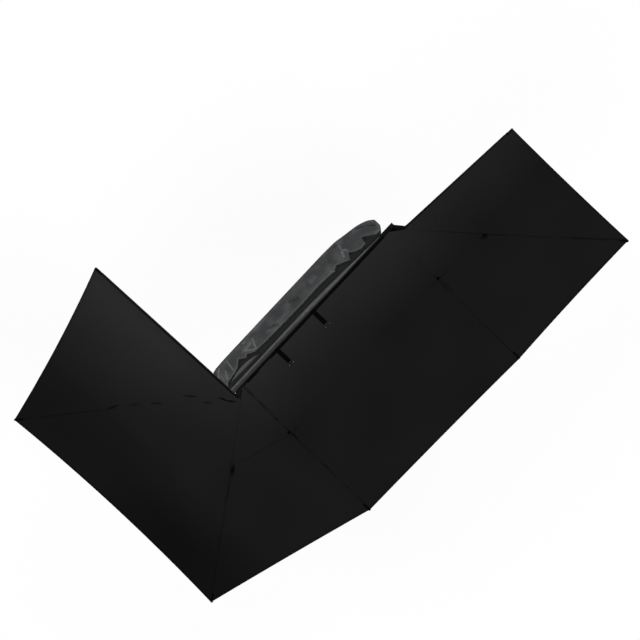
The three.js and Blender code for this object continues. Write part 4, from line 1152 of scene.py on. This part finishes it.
def make_floor(settings):
    """A wide pale floor. What the camera sees of it is nearly white, under a soft shadow."""
    bpy.ops.mesh.primitive_plane_add(size=FLOOR_SIZE, location=(0, 0, -settings.floor_depth))
    floor = bpy.context.object
    floor.name = "floor"
    material, tree, surface, _ = new_material("pale_floor", Roughness=0.9, Specular_IOR_Level=0)
    surface.inputs["Base Color"].default_value = (*settings.floor_colour, 1)
    glow = node(tree, "Emission", Color=(1, 1, 1, 1), Strength=1)
    seen = node(tree, "LightPath").outputs["Is Camera Ray"]
    share = node(tree, "Math", {"operation": "MULTIPLY"}, i0=seen, i1=FLOOR_GLOW)
    both = node(tree, "MixShader", i0=share.outputs[0], i1=surface.outputs[0], i2=glow.outputs[0])
    output = next(n for n in tree.nodes if n.type == "OUTPUT_MATERIAL")
    tree.links.new(both.outputs[0], output.inputs[0])
    floor.data.materials.append(material)


def make_lamps():
    """A pale sky, and soft low lamps all round, so that none shines back from the flat tops."""
    world = bpy.data.worlds.new("sky")
    bpy.context.scene.world = world
    world.use_nodes = True
    tree = world.node_tree
    tree.nodes.clear()
    dim = node(tree, "Background", Color=(1, 1, 1, 1), Strength=SKY_LIGHT)
    pale = node(tree, "Background", Color=(1, 1, 1, 1), Strength=1)
    seen = node(tree, "LightPath").outputs["Is Camera Ray"]
    both = node(tree, "MixShader", i0=seen, i1=dim.outputs[0], i2=pale.outputs[0])
    node(tree, "OutputWorld", Surface=both.outputs[0])
    for index, (turn, tilt, power) in enumerate(LAMPS):
        data = bpy.data.lights.new(f"lamp_{index}", "SUN")
        data.energy = power * LAMP_GAIN
        data.angle = radians(LAMP_SPREAD)
        lamp = placed(f"lamp_{index}", data)
        lamp.rotation_euler = (radians(tilt), 0, radians(turn))


class AWNING_OT_stage(bpy.types.Operator):
    """Makes the floor, the lamps and the camera"""

    bl_idname = "awning.stage"
    bl_label = "Stage"

    def execute(self, context):
        make_camera()
        make_floor(context.scene.awning_stage)
        make_lamps()
        return {"FINISHED"}


# Frame


class AWNING_OT_frame(bpy.types.Operator):
    """Gives the frame's own nodes their finishes"""

    bl_idname = "awning.frame"
    bl_label = "Frame"

    def execute(self, context):
        for part in frame["record"]["subparts"]:
            name = part["node"]
            dark = name.endswith("_pin") and name != "rear_inner_pin"
            materials = frame["nodes"][name].data.materials
            materials.clear()
            materials.append(finish("black_pin" if dark else part["material_slot"]))
        return {"FINISHED"}


class AWNING_PT_panel(bpy.types.Panel):
    """Lists the awning's operators"""

    bl_idname = "AWNING_PT_panel"
    bl_label = "Side awning"
    bl_space_type = "VIEW_3D"
    bl_region_type = "UI"
    bl_category = "Awning"

    def draw(self, context):
        for operator in OPERATORS:
            self.layout.operator(operator.bl_idname)
        for group in (context.scene.awning_cloth, context.scene.awning_stage):
            for key in group.__annotations__:
                self.layout.prop(group, key)


OPERATORS = (
    AWNING_OT_stage, AWNING_OT_frame, AWNING_OT_canopy, AWNING_OT_cover, AWNING_OT_straps, AWNING_OT_ties
)
CLASSES = (AwningCloth, AwningStage, *OPERATORS, AWNING_PT_panel)


def register():
    for item in CLASSES:
        bpy.utils.register_class(item)
    bpy.types.Scene.awning_cloth = bpy.props.PointerProperty(type=AwningCloth)
    bpy.types.Scene.awning_stage = bpy.props.PointerProperty(type=AwningStage)


def unregister():
    del bpy.types.Scene.awning_cloth
    del bpy.types.Scene.awning_stage
    for item in reversed(CLASSES):
        bpy.utils.unregister_class(item)


def main():
    """Makes every piece in order."""
    register()
    bpy.context.scene.view_settings.view_transform = "Standard"
    bpy.ops.awning.stage()
    bpy.ops.awning.frame()
    bpy.ops.awning.canopy()
    bpy.ops.awning.cover()
    bpy.ops.awning.straps()
    bpy.ops.awning.ties()


if __name__ == "__main__":
    main()
